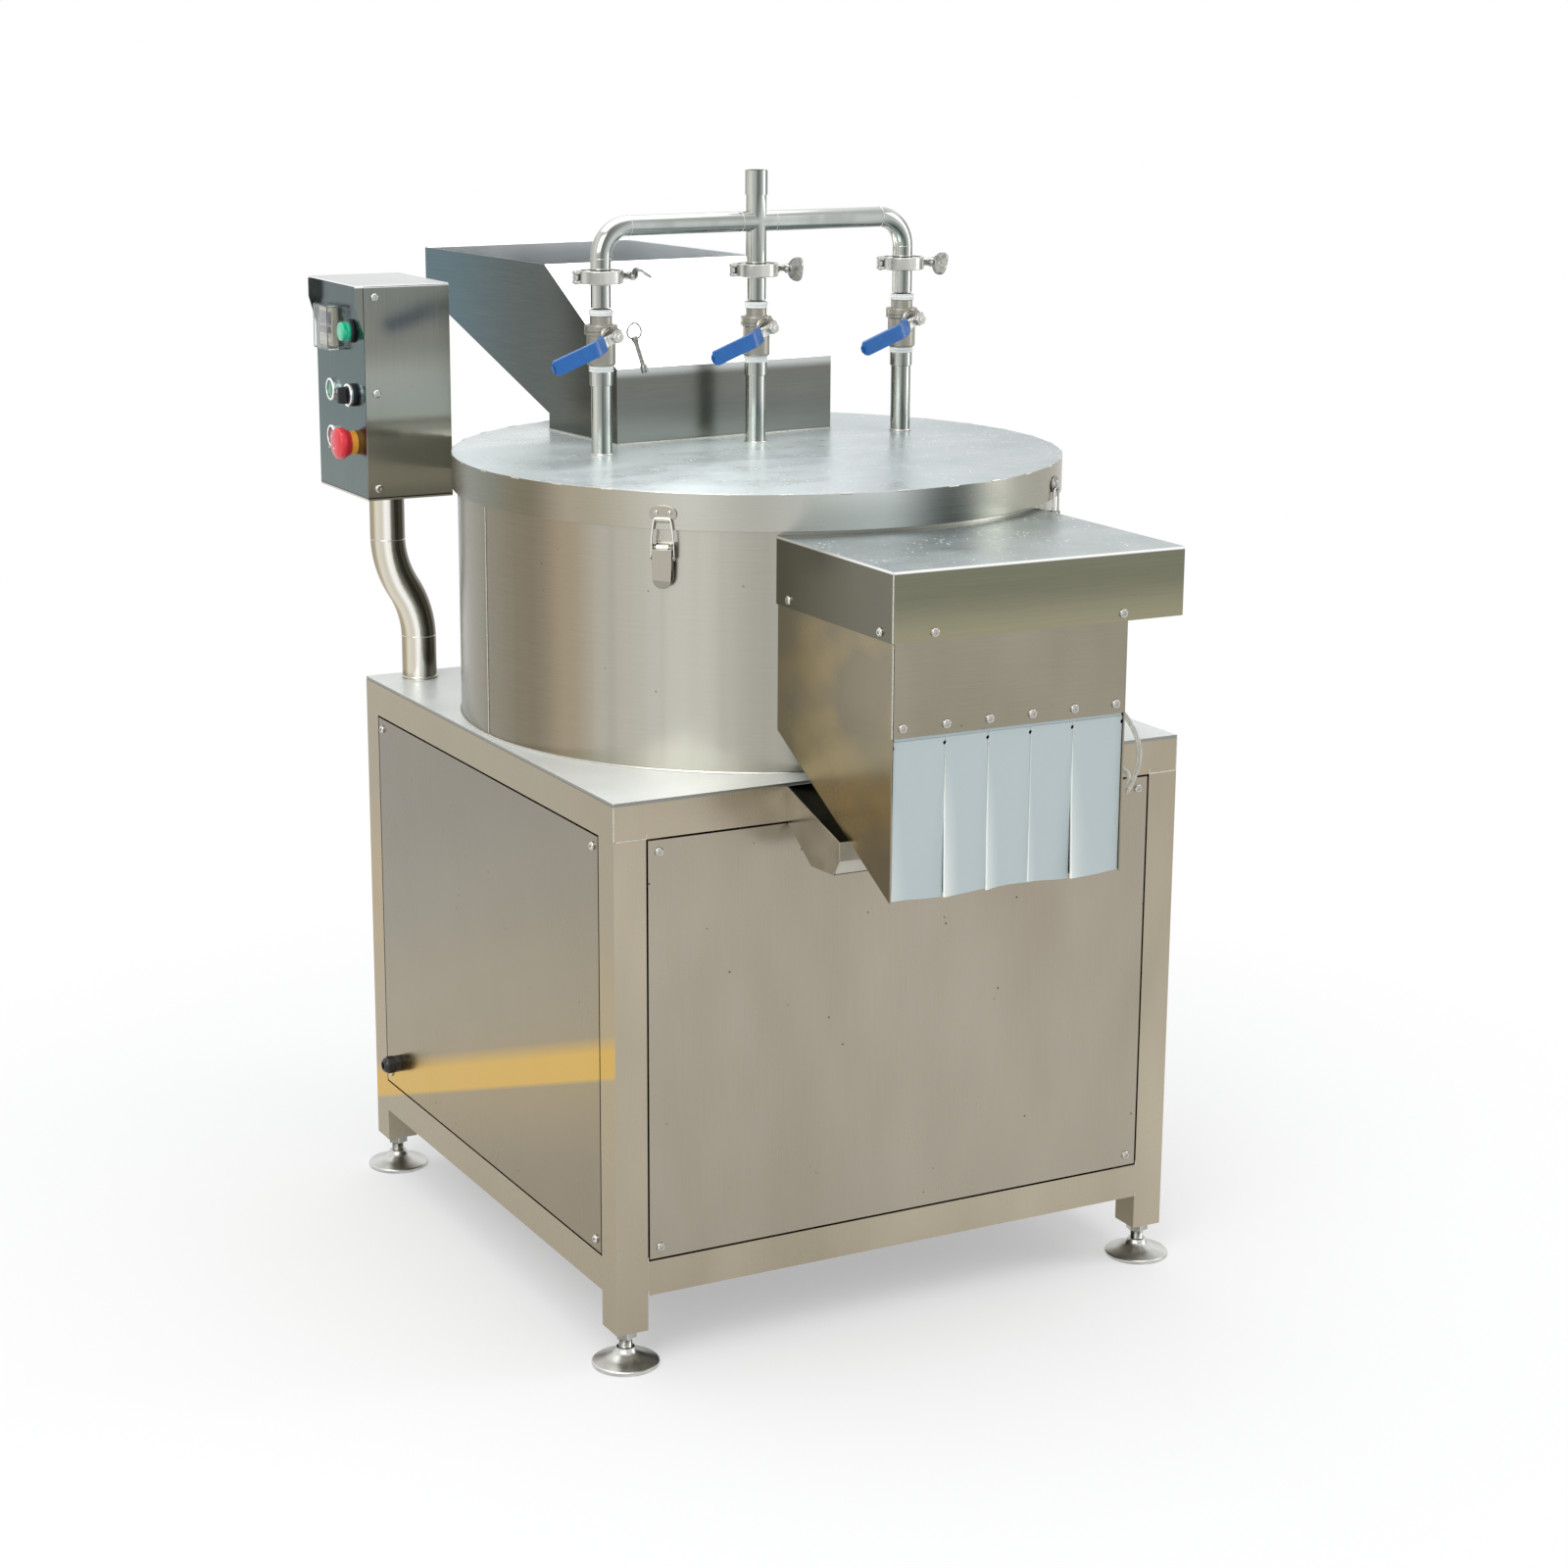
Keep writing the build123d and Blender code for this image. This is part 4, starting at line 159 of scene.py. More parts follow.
def facing(tree, direction):
    """How far a face of the piece looks in a direction, from -1 to 1."""
    normal = put(tree, "TexCoord").outputs["Normal"]
    return put(tree, "VectorMath", {0: normal, 1: direction}, operation="DOT_PRODUCT").outputs["Value"]


def toward(tree, direction, low=0.55, high=0.85):
    """1 on faces that look in a direction of the piece, 0 elsewhere."""
    return ramp(tree, facing(tree, direction), low, high)


def along(tree, direction):
    """How far a point of the machine lies along a direction, in metres."""
    where = put(tree, "TexCoord").outputs["Object"]
    return put(tree, "VectorMath", {0: where, 1: direction}, operation="DOT_PRODUCT").outputs["Value"]


def looks_in(tree, centre):
    """1 on faces that look towards a point inside the piece."""
    coords = put(tree, "TexCoord")
    inward = put(tree, "VectorMath", {0: centre, 1: coords.outputs["Object"]}, operation="SUBTRACT").outputs[0]
    cosine = put(tree, "VectorMath", {0: coords.outputs["Normal"], 1: inward}, operation="DOT_PRODUCT")
    return ramp(tree, cosine.outputs["Value"], 0.0, 0.01)


def bands(tree, value, stops):
    """Colour that passes through (value, hex) stops, blended softly between them."""
    colour = stops[0][1]
    for (low, _), (high, shade) in zip(stops, stops[1:]):
        part = put(tree, "MapRange", {"Value": value, "From Min": low, "From Max": high},
                   interpolation_type="SMOOTHSTEP", clamp=True)
        colour = mix(tree, part.outputs["Result"], colour, shade)
    return colour


def clouds(tree, light, dark, size, low=0.35, high=0.68):
    """Two colours in broad soft patches, size in millimetres along X, Y and Z."""
    return mix(tree, ramp(tree, object_noise(tree, size, 2.0), low, high), dark, light)


def painted_fold_highlight(tree, colour, shade, strength=0.8):
    """Painted highlight: brighter metal on the rounded folds between faces that lie along the axes, chosen by the
    direction each face looks.
    """
    parts = put(tree, "SeparateXYZ", {0: put(tree, "TexCoord").outputs["Normal"]})
    sizes = [math_of(tree, "ABSOLUTE", parts.outputs[k]) for k in range(3)]
    most = math_of(tree, "MAXIMUM", sizes[0], math_of(tree, "MAXIMUM", sizes[1], sizes[2]))
    return mix(tree, ramp(tree, most, 0.9, 0.985, strength, 0.0), colour, shade)


def painted_rim_highlight(tree, colour, height):
    """Painted highlight: a white line along the fold at the upper edge of a sheet box, height in millimetres."""
    return mix(tree, ramp(tree, along(tree, UP), (height - 3.4) * MM, (height - 2.2) * MM), colour, "#FFFFFF")


def flecks(tree, colour, strength):
    """A few dark specks of dirt."""
    spot = put(tree, "TexVoronoi", {"Vector": put(tree, "TexCoord").outputs["Object"], "Scale": 1 / 0.026},
               feature="F1")
    near = ramp(tree, spot.outputs["Distance"], 0.035, 0.06, strength, 0.0)
    rare = ramp(tree, object_noise(tree, (60, 60, 60), 0.0), 0.5, 0.56)
    return mix(tree, math_of(tree, "MULTIPLY", near, rare), colour, "#3B3832")


def splashed(tree, colour, rough, mask):
    """Scratches in three directions and dried drops, on the faces that mask picks."""
    scratch = None
    for turn in (0.5, 1.35, 2.4):
        line = object_noise(tree, (0.7, 90, 60), 1.0, 0.5, turn=(0, 0, turn), shift=(turn, 0, 0))
        thin = ramp(tree, line, 0.7, 0.74, 0.0, 0.35)
        scratch = thin if scratch is None else math_of(tree, "MAXIMUM", scratch, thin)
    drops = put(tree, "TexVoronoi", {"Vector": put(tree, "TexCoord").outputs["Object"], "Scale": 1 / 0.009},
                feature="F1")
    patch = ramp(tree, object_noise(tree, (45, 45, 45), 2.0), 0.5, 0.6)
    drop = math_of(tree, "MULTIPLY", ramp(tree, drops.outputs["Distance"], 0.13, 0.2, 0.9, 0.0), patch)
    marks = math_of(tree, "MULTIPLY", math_of(tree, "MAXIMUM", scratch, drop), mask)
    film = ramp(tree, object_noise(tree, (110, 60, 60), 4.0, 0.6), 0.35, 0.7, 0.0, 0.12)
    dull = math_of(tree, "MULTIPLY", math_of(tree, "ADD", film, math_of(tree, "MULTIPLY", drop, 0.3)), mask)
    return mix(tree, marks, colour, "#F6F8F8"), math_of(tree, "ADD", rough, dull)


def stainless(name, tint, grain=(0.8, 0.8, 70), rough=0.24, brush=0.05, wet=0.0):
    """Brushed stainless sheet: tint(tree) gives its colour, hairlines and smears are added; wet is the share of its
    upper faces that a dried film covers."""
    made, tree, shader = blank(name)
    colour = tint(tree)
    line = object_noise(tree, grain, 3.0, 0.6)
    colour = mix(tree, ramp(tree, line, 0.35, 0.65, 0.0, brush), colour, "#FFFFFA")
    smear = ramp(tree, object_noise(tree, (140, 140, 140), 4.0, 0.6), 0.3, 0.7, -0.03, 0.05)
    dull = math_of(tree, "ADD", ramp(tree, line, 0.3, 0.7, rough - 0.01, rough + 0.015), smear)
    shader.inputs["Metallic"].default_value = 1.0
    if wet:
        upper = toward(tree, UP)
        colour, dull = splashed(tree, colour, dull, upper)
        tree.links.new(math_of(tree, "SUBTRACT", 1.0, math_of(tree, "MULTIPLY", upper, wet)), shader.inputs["Metallic"])
    tree.links.new(colour, shader.inputs["Base Color"])
    tree.links.new(dull, shader.inputs["Roughness"])
    bump = put(tree, "Bump", {"Height": line, "Strength": 0.015, "Distance": 0.0001})
    tree.links.new(bump.outputs[0], shader.inputs["Normal"])
    return made


def polished(name, light, dark, tint, seed, rough=0.1, low=0.42, high=0.56, scale=2.2):
    """Mirror-polished steel whose soft bright and dark bands, running along its tubes and round its bends, are painted
    reflections chosen by the direction each face looks.
    """
    made, tree, shader = blank(name)
    # Painted reflection: noise on the face normal gives the bright and dark bands.
    normal = put(tree, "TexCoord").outputs["Normal"]
    moved = put(tree, "VectorMath", {0: normal, 1: (seed, seed * 0.7, 0)}, operation="ADD").outputs[0]
    streak = put(tree, "TexNoise", {"Vector": moved, "Scale": scale, "Detail": 1.5, "Roughness": 0.5}).outputs["Fac"]
    colour = mix(tree, ramp(tree, streak, low, high), dark, light)
    wide = put(tree, "TexNoise", {"Vector": moved, "Scale": scale * 0.6, "Detail": 0.0}).outputs["Fac"]
    colour = mix(tree, ramp(tree, wide, 0.5, 0.62, 0.0, 0.6), colour, tint)
    wear = object_noise(tree, (12, 12, 12), 4.0, 0.6)
    tree.links.new(mix(tree, ramp(tree, wear, 0.5, 0.75, 0.0, 0.12), colour, "#FFFFFF"), shader.inputs["Base Color"])
    tree.links.new(ramp(tree, wear, 0.3, 0.7, rough - 0.03, rough + 0.05), shader.inputs["Roughness"])
    shader.inputs["Metallic"].default_value = 1.0
    return made


def plastic(name, colour, rough=0.35, worn=None, grain_mm=0.5, coat=0.0, bump=0.05, faces=()):
    """Moulded plastic: even colour with a faint dusting and an orange-peel skin."""
    made, tree, shader = blank(name)
    dust = ramp(tree, object_noise(tree, (9, 9, 9), 4.0), 0.45, 0.75, 0.0, 0.35)
    shade = mix(tree, dust, colour, worn or colour)
    # Colours by the direction a face looks; on the curtain these are partly painted highlight on its curled edges.
    for direction, other, low, high in faces:
        shade = mix(tree, toward(tree, direction, low, high), shade, other)
    tree.links.new(shade, shader.inputs["Base Color"])
    skin = object_noise(tree, (grain_mm,) * 3, 2.0)
    tree.links.new(ramp(tree, skin, 0.3, 0.7, rough - 0.05, rough + 0.08), shader.inputs["Roughness"])
    peel = put(tree, "Bump", {"Height": skin, "Strength": bump, "Distance": 0.0002})
    tree.links.new(peel.outputs[0], shader.inputs["Normal"])
    shader.inputs["Coat Weight"].default_value = coat
    return made


def clear(name, tint, rough=0.12, weight=0.9, ior=1.46, streak="#FFFFFF"):
    """Clear or milky plastic with faint scuffs."""
    made, tree, shader = blank(name)
    scuff = ramp(tree, object_noise(tree, (3, 3, 14), 4.0), 0.45, 0.7)
    tree.links.new(mix(tree, scuff, tint, streak), shader.inputs["Base Color"])
    tree.links.new(ramp(tree, scuff, 0.0, 1.0, rough, rough + 0.1), shader.inputs["Roughness"])
    shader.inputs["Transmission Weight"].default_value = weight
    shader.inputs["IOR"].default_value = ior
    return made


def grained(name, light, dark, rough, grain_mm, bump=0.3, metallic=1.0):
    """Cast, turned, painted or gritty surface: even grain all over."""
    made, tree, shader = blank(name)
    grain = object_noise(tree, (grain_mm,) * 3, 4.0, 0.65)
    tree.links.new(mix(tree, ramp(tree, grain, 0.3, 0.7), dark, light), shader.inputs["Base Color"])
    tree.links.new(ramp(tree, grain, 0.3, 0.7, rough - 0.05, rough + 0.07), shader.inputs["Roughness"])
    shader.inputs["Metallic"].default_value = metallic
    height = put(tree, "Bump", {"Height": grain, "Strength": bump, "Distance": grain_mm * MM * 0.3})
    tree.links.new(height.outputs[0], shader.inputs["Normal"])
    return made


UP, FRONT, LEFT, RIGHT = (0, 0, 1), (0, -1, 0), (-1, 0, 0), (1, 0, 0)
ACROSS = (0.88, -0.47, 0)               # from the machine's left rear to its right front


def painted_golden_reflection(tree, colour):
    """Painted reflection: a gold-coloured band low on the left side, lower towards the rear."""
    height = along(tree, (0, 0.346, 1))
    band = math_of(tree, "MULTIPLY", ramp(tree, height, 0.216, 0.222), ramp(tree, height, 0.252, 0.272, 1.0, 0.0))
    return mix(tree, math_of(tree, "MULTIPLY", band, toward(tree, LEFT)), colour, "#D3AA46")


def frame_tint(tree):
    """Warm grey tube in soft patches; its left faces darker as painted shade, graded by height, with a painted
    reflection band low down and a painted highlight along its rounded corners.
    """
    colour = clouds(tree, "#B9AF9B", "#A59B88", (180, 180, 420))
    # Painted shade on the faces that look left, graded by height.
    left = bands(tree, along(tree, UP), [(0.1, "#A69A82"), (0.42, "#AD9C7A"), (0.56, "#A0967F")])
    colour = painted_golden_reflection(tree, mix(tree, toward(tree, LEFT), colour, left))
    return painted_fold_highlight(tree, colour, "#DDD2BC", 0.7)


def top_tint(tree):
    """Pale upper face as painted reflection, darker grey rim as painted shade, and a painted highlight along the folds.
    """
    # Painted reflection on the upward faces, painted shade on the sides.
    colour = mix(tree, toward(tree, UP), "#8C8E89", clouds(tree, "#E9ECE9", "#DCDFDB", (200, 200, 200)))
    return painted_fold_highlight(tree, colour, "#E9E7DF", 0.6)


def panel_tint(tree):
    """Taupe sheet with tan clouds and dark flecks; its left side darker as painted shade, graded by height, with a
    painted reflection band low down.
    """
    colour = clouds(tree, "#ABA394", "#9F9687", (180, 180, 420))
    # Painted shade on the faces that look left, graded by height.
    side = bands(tree, along(tree, (0, 0.346, 1)), [
        (0.1, "#8D8069"), (0.23, "#9C8C69"), (0.33, "#968B73"), (0.48, "#8B8473"), (0.62, "#827C6E")])
    colour = painted_golden_reflection(tree, mix(tree, toward(tree, LEFT), colour, side))
    return flecks(tree, colour, 0.9)


def drum_tint(tree):
    """Painted reflection: vertical bands round the shell by the direction each face looks, olive and tan on its left,
    silver in front; fine vertical streaks and flecks over them.
    """
    # Painted reflection bands by face direction.
    colour = bands(tree, facing(tree, ACROSS), [
        (-1.0, "#8A8B81"), (-0.9, "#807B6A"), (-0.7, "#7C715D"), (-0.58, "#A1927A"), (-0.46, "#B0AC9F"), (-0.2, "#C0BEB3"),
        (0.02, "#A6A499"), (0.4, "#8F8D84"), (0.7, "#B7B5AA"), (1.0, "#9B998E")])
    fine = ramp(tree, object_noise(tree, (30, 30, 2500), 2.0), 0.4, 0.65, 0.0, 0.18)
    return flecks(tree, mix(tree, fine, colour, "#8E8B7F"), 0.5)


def lid_tint(tree):
    """Skirt in painted reflection bands as the drum; pale plate with a painted reflection that darkens towards the
    right front.
    """
    skirt = bands(tree, facing(tree, ACROSS), [
        (-1.0, "#62655D"), (-0.88, "#7A7D71"), (-0.7, "#786F5C"), (-0.55, "#A39B86"), (-0.2, "#C2C1B7"), (0.0, "#AEADA4"),
        (0.38, "#C9CFCC"), (0.6, "#5A5F5B"), (0.78, "#9C9D91"), (1.0, "#8A826F")])
    # Painted reflection across the plate.
    plate = bands(tree, along(tree, ACROSS), [(-0.3, "#DAE2E1"), (0.0, "#E4EEED"), (0.18, "#ADB7B8"), (0.38, "#909A9B")])
    plate = mix(tree, ramp(tree, object_noise(tree, (160, 160, 160), 2.0), 0.4, 0.65, 0.0, 0.25), plate, "#BFC8C8")
    return mix(tree, toward(tree, UP), skirt, plate)


def cover_tint(tree):
    """Olive grey sides, lighter at their lower edge and darker on the left, and a pale top: painted light and shade on
    one steel, with painted highlights along the folds.
    """
    colour = bands(tree, along(tree, UP), [(0.88, "#949077"), (0.93, "#757563")])
    colour = mix(tree, toward(tree, LEFT), colour, "#6D6B5C")
    colour = painted_rim_highlight(tree, colour, COVER_TOP)
    colour = mix(tree, toward(tree, UP), colour, clouds(tree, "#A6B0B0", "#929C9B", (120, 120, 120)))
    return painted_fold_highlight(tree, colour, "#F8F9F8", 0.9)


def chute_tint(tree):
    """Warm grey sheet with dark flecks; on its left side tan patches of painted warm reflection."""
    colour = clouds(tree, "#9B9586", "#8F8978", (120, 120, 300))
    # Painted reflection on the faces that look left.
    left = clouds(tree, "#B09D74", "#8F8672", (150, 150, 110), 0.42, 0.7)
    return flecks(tree, mix(tree, toward(tree, LEFT), colour, left), 0.5)


def pipe_tint(tree):
    """Painted reflection: bright and dark bands along the polished tubes by the direction each face looks, and a
    painted highlight on their upper faces.
    """
    colour = bands(tree, facing(tree, ACROSS), [
        (-1.0, "#5C5E57"), (-0.82, "#B4B5AB"), (-0.5, "#CFD0C8"), (-0.28, "#AEB2AC"), (-0.05, "#999E99"), (0.16, "#5E625F"),
        (0.4, "#7F8581"), (0.62, "#CBCFCC"), (0.8, "#949A95"), (1.0, "#5B5F58")])
    blot = ramp(tree, object_noise(tree, (30, 30, 120), 1.0), 0.45, 0.62, 0.0, 0.4)
    colour = mix(tree, blot, colour, "#959993")
    return mix(tree, toward(tree, UP, 0.4, 0.95), colour, "#D6D8D5")


def stand_tint(tree):
    """Painted reflection bands by the direction each face looks: warm left, pale middle, dark right."""
    return bands(tree, facing(tree, ACROSS), [
        (-1.0, "#7C6E55"), (-0.75, "#A39577"), (-0.5, "#D9D3C2"), (-0.2, "#CFC9B9"), (0.05, "#F6F4EE"), (0.3, "#E4E3DB"),
        (0.55, "#57544D"), (0.8, "#7B7870"), (1.0, "#5C5951")])


def wire_tint(tree):
    """Painted reflection by the direction each face looks: bright wire with dark flanks."""
    return bands(tree, facing(tree, ACROSS), [(-1.0, "#4A4844"), (-0.55, "#FFFFFC"), (0.3, "#F0EEE8"), (0.85, "#33312E")])


def latch_tint(tree):
    """Painted reflection and shade by the direction each face looks: pale plate, dark edges, darker on faces that look
    down.
    """
    colour = bands(tree, facing(tree, ACROSS), [(-0.95, "#4E4C46"), (-0.5, "#A8A396"), (0.1, "#BDB8AA"), (0.5, "#989589"),
                                                (0.9, "#403E39")])
    return mix(tree, toward(tree, (0, 0, -1), 0.1, 0.5), colour, "#77766F")


def hopper_tint(tree):
    """Painted reflection on one steel: blue grey at the mouth to olive grey at the neck with a pale top line, a white
    painted highlight on the front slope, and a pale inside as painted light.
    """
    side = bands(tree, along(tree, (0, 1, 0)), [(0.1, "#5E5F57"), (0.3, "#4B5350"), (0.55, "#4E6870")])
    neck = bands(tree, along(tree, UP), [(1.01, "#8B8F8A"), (1.05, "#777974"), (1.085, "#72736E"), (1.097, "#C4C9C8")])
    colour = mix(tree, toward(tree, FRONT), side, neck)
    # Painted highlight on the front slope, painted light on the inside.
    slope = toward(tree, (0.05, -0.54, 0.84), 0.9, 0.98)
    colour = mix(tree, looks_in(tree, (0.05, 0.42, 1.2)), colour, "#F4F8FA")
    return mix(tree, slope, colour, "#FFFFFF")


def spout_tint(tree):
    """Grey sheet in soft patches."""
    return clouds(tree, "#DAD6CC", "#B9B5AB", (60, 60, 60))


def box_tint(tree):
    """Painted reflection on one steel: sides with a reflected horizon low down, a cooler operating face, a pale roof,
    painted highlights along the folds and the lower rim, and a dark line of painted shade just above that rim.
    """
    side = bands(tree, along(tree, UP), [(0.93, "#A9A597"), (0.96, "#C9C3B4"), (1.004, "#CFCBBD"), (1.02, "#8A877B"),
                                         (1.028, "#7C796D"), (1.038, "#979A92"), (1.08, "#979A93"), (1.13, "#7C7E76"),
                                         (1.19, "#777B75")])
    face = bands(tree, along(tree, UP), [(0.94, "#50625F"), (1.05, "#3C5657"), (1.19, "#324A4D")])
    colour = mix(tree, toward(tree, LEFT), side, face)
    # Painted highlight on the lower rim and painted shade just above it.
    painted_lip_highlight = ramp(tree, along(tree, UP), 0.9331, 0.9335, 1.0, 0.0)
    painted_gap_shade = math_of(tree, "SUBTRACT", ramp(tree, along(tree, UP), 0.9346, 0.935, 1.0, 0.0), painted_lip_highlight)
    colour = mix(tree, painted_gap_shade, mix(tree, painted_lip_highlight, colour, "#C9C5B9"), "#1E1D1B")
    colour = painted_rim_highlight(tree, colour, BOX_TOP)
    return painted_fold_highlight(tree, mix(tree, toward(tree, UP), colour, "#B4B8B7"), "#F3F5F5", 0.85)


# Brushed stainless square tube: warm grey, hairlines along the post.
FRAME_STEEL = stainless("brushed_stainless_tube", frame_tint, rough=0.27, brush=0.02)
# Top plate: its pale upper face a painted reflection, wiped and splashed.
TOP_STEEL = stainless("wiped_stainless_top_plate", top_tint, (70, 0.8, 0.8), 0.3, 0.03, 0.8)
# Cabinet sheet: taupe, with soft tan clouds and a few flecks.
PANEL_STEEL = stainless("brushed_stainless_panel", panel_tint, (0.8, 0.8, 90), 0.24, 0.025)
# Rolled shell of the drum: hairlines round it, painted reflection bands up it.
DRUM_STEEL = stainless("rolled_stainless_drum", drum_tint, (60, 60, 0.8), 0.22, 0.03)
# Lid: the skirt in painted reflection bands as the drum, the plate painted pale, scratched and splashed.
LID_STEEL = stainless("wiped_stainless_lid", lid_tint, (60, 60, 0.8), 0.24, 0.03, 0.5)
# Chute cover: olive grey front and pale top as painted light and shade, splashed on top.
COVER_STEEL = stainless("brushed_stainless_cover", cover_tint, (80, 0.8, 0.8), 0.22, 0.025, 0.25)
# Hopper sheet.
HOPPER_STEEL = stainless("brushed_stainless_hopper", hopper_tint, (60, 60, 0.8), 0.22, 0.03)
# Chute sheet.
CHUTE_STEEL = stainless("brushed_stainless_chute", chute_tint, (70, 0.8, 0.8), 0.24, 0.025)
SPOUT_STEEL = stainless("brushed_stainless_spout", spout_tint, (70, 0.8, 0.8), 0.24)
# Control box: taupe sides, cooler operating face, pale roof, all painted reflection on one steel.
BOX_STEEL = stainless("brushed_stainless_box", box_tint, (0.8, 0.8, 80), 0.16, 0.03)
# Mirror-polished tube.
PIPE_STEEL = stainless("polished_stainless_pipe", pipe_tint, (0.8, 0.8, 60), 0.12, 0.02)
STAND_STEEL = stainless("polished_stainless_stand", stand_tint, (0.8, 0.8, 60), 0.16, 0.02)
# Satin cast clamp, with painted reflection bands.
CLAMP_STEEL = polished("satin_cast_stainless", "#CFCFCA", "#8F8F8A", "#B9B9B5", 3.1, 0.24, 0.35, 0.6)
# Shot-blasted investment casting.
VALVE_STEEL = grained("blasted_cast_stainless", "#A2A096", "#87857B", 0.36, 0.7, 0.2)
# Turned and plated steel with a fine lay, with painted reflection bands.
TURNED_STEEL = polished("turned_steel", "#CFCFCA", "#7E7E79", "#A9A9A4", 5.7, 0.2)
# Bright fastener and latch steel, with painted reflection bands and painted dark flanks.
SCREW_STEEL = polished("bright_screw_steel", "#F1F0EC", "#63625D", "#B7B5AE", 8.9, 0.16, 0.43, 0.56)
LATCH_STEEL = stainless("satin_latch_sheet", latch_tint, (0.8, 0.8, 30), 0.2, 0.03)
WIRE_STEEL = stainless("bright_spring_wire", wire_tint, (0.8, 0.8, 30), 0.16, 0.02)
# Satin foot steel with painted reflection bands.
FOOT_STEEL = polished("satin_foot_stainless", "#D2D2CE", "#A3A39F", "#BEBEBA", 6.2, 0.3, 0.35, 0.6)
# Cast wing nuts and the turned key.
WING_STEEL = grained("cast_wing_stainless", "#B4B4AF", "#84847F", 0.2, 5.0, 0.06)
KEY_STEEL = grained("plated_key_steel", "#9C9B96", "#62615C", 0.22, 3.0, 0.05)
# Chromed bezels with painted white reflection bands.
CHROME = polished("chromed_bezel", "#FFFFFF", "#D5D8DA", "#F4F5F5", 11.0, 0.28)
ALUMINIUM = grained("anodised_aluminium", "#C6C8CA", "#A9ABAE", 0.3, 0.8, 0.08)
# Weld metal: grey, lightly oxidised.
WELD_STEEL = grained("brushed_weld_metal", "#E2E0D8", "#A9A69B", 0.3, 1.4, 0.35)
# Silicon-carbide grit bonded to sheet.
GRIT = grained("carbide_grit_lining", "#5C5853", "#262422", 0.85, 1.6, 1.0, 0.0)
# Grey iron, machined and oiled.
IRON = grained("machined_grey_iron", "#74767A", "#4B4D50", 0.45, 1.0, 0.3, 0.9)
MOTOR_PAINT = grained("motor_enamel", "#66788A", "#566677", 0.4, 3.0, 0.1, 0.0)
BELT_RUBBER = grained("fabric_faced_rubber_belt", "#2A2A2B", "#151516", 0.75, 0.9, 0.5, 0.0)
# Soft milky PVC sheet; faces that look left and right are paler cream, partly its cut edges and partly painted
# highlight on the curls.
CURTAIN_PVC = plastic("milky_soft_pvc", "#B8C3C3", 0.3, None, 0.5, 0.1, 0.02,
                      faces=[(LEFT, "#EFF1EA", 0.1, 0.5), (RIGHT, "#E9ECE6", 0.06, 0.4)])
# Clear polyurethane pneumatic hose.
HOSE_PU = clear("clear_polyurethane_hose", "#E6E6DA", 0.15, 0.5, 1.4)
NYLON_LINE = clear("clear_nylon_line", "#F3F4F2", 0.2, 0.5, 1.3)
# Clear polycarbonate timer cover.
CLEAR_PC = clear("clear_polycarbonate", "#F6F8F8", 0.03, 0.98, 1.3)
TIMER_ABS = plastic("cream_abs", "#B9B3A2", 0.45, "#C4BFB0")
KEY_ABS = plastic("grey_key_abs", "#D8D5CA", 0.4, "#C7C3B6")
TIMER_GLASS = plastic("dark_display_window", "#27323F", 0.15, "#323D4A", 1.0, 0.4)
BLUE_VINYL = plastic("dipped_blue_vinyl", "#005AA2", 0.3, "#0672BC", 4.0, 0.15, 0.02)
GREEN_CAP = plastic("green_button_acrylic", "#0F7D54", 0.22, "#1F9268", 1.0, 0.5)
RED_CAP = plastic("dark_red_button_acrylic", "#7E1A2C", 0.25, "#943245", 1.0, 0.5)
STOP_RED = plastic("signal_red_nylon", "#DE2A36", 0.3, "#E63C46", 0.6, 0.3)
COLLAR_YELLOW = plastic("signal_yellow_nylon", "#E59A33", 0.4, "#EAA84B")
BLACK_NYLON = plastic("black_nylon", "#1B1C1E", 0.35, "#2C2D2F")
LAMP_GREEN = plastic("green_lens_acrylic", "#04BC8C", 0.12, "#1BD0A0", 1.0, 0.7)
BLUE_RING = plastic("blue_acetal_release_ring", "#2A6FB8", 0.4, "#3C80C6")
PTFE = plastic("white_ptfe_tape", "#F0F1EE", 0.55, "#DCDEDA", 0.4, 0.0, 0.5)

FINISH = {
    "cabinet_frame": FRAME_STEEL, "top_plate": TOP_STEEL, "front_panel": PANEL_STEEL, "rear_panel": PANEL_STEEL,
    "left_panel": PANEL_STEEL, "right_panel": PANEL_STEEL, "button_head_screws": SCREW_STEEL,
    "drum_shell": DRUM_STEEL, "drum_lining": GRIT, "abrasive_disc": GRIT, "disc_shaft": TURNED_STEEL,
    "bearing_housing": IRON, "bearings_and_seal": TURNED_STEEL, "motor_bracket": IRON, "motor": MOTOR_PAINT,
    "motor_pulley": IRON, "drive_belts": BELT_RUBBER, "chute_body": CHUTE_STEEL, "chute_cover": COVER_STEEL,
    "curtain_band": CURTAIN_PVC, "discharge_door": CHUTE_STEEL, "air_cylinder": ALUMINIUM,
    "waste_spout": SPOUT_STEEL, "lid": LID_STEEL, "hopper": HOPPER_STEEL, "spray_pipework": PIPE_STEEL,
    "control_box": BOX_STEEL, "box_stand": STAND_STEEL,
}

# ------------------------------------------------------------------ modelling by hand


def only(*pieces):
    """Select these objects and nothing else."""
    bpy.ops.object.select_all(action="DESELECT")
    for piece in pieces:
        piece.select_set(True)
    bpy.context.view_layer.objects.active = pieces[0]


def keep_modifiers(piece):
    """Apply all modifiers of a piece."""
    only(piece)
    for modifier in list(piece.modifiers):
        bpy.ops.object.modifier_apply(modifier=modifier.name)


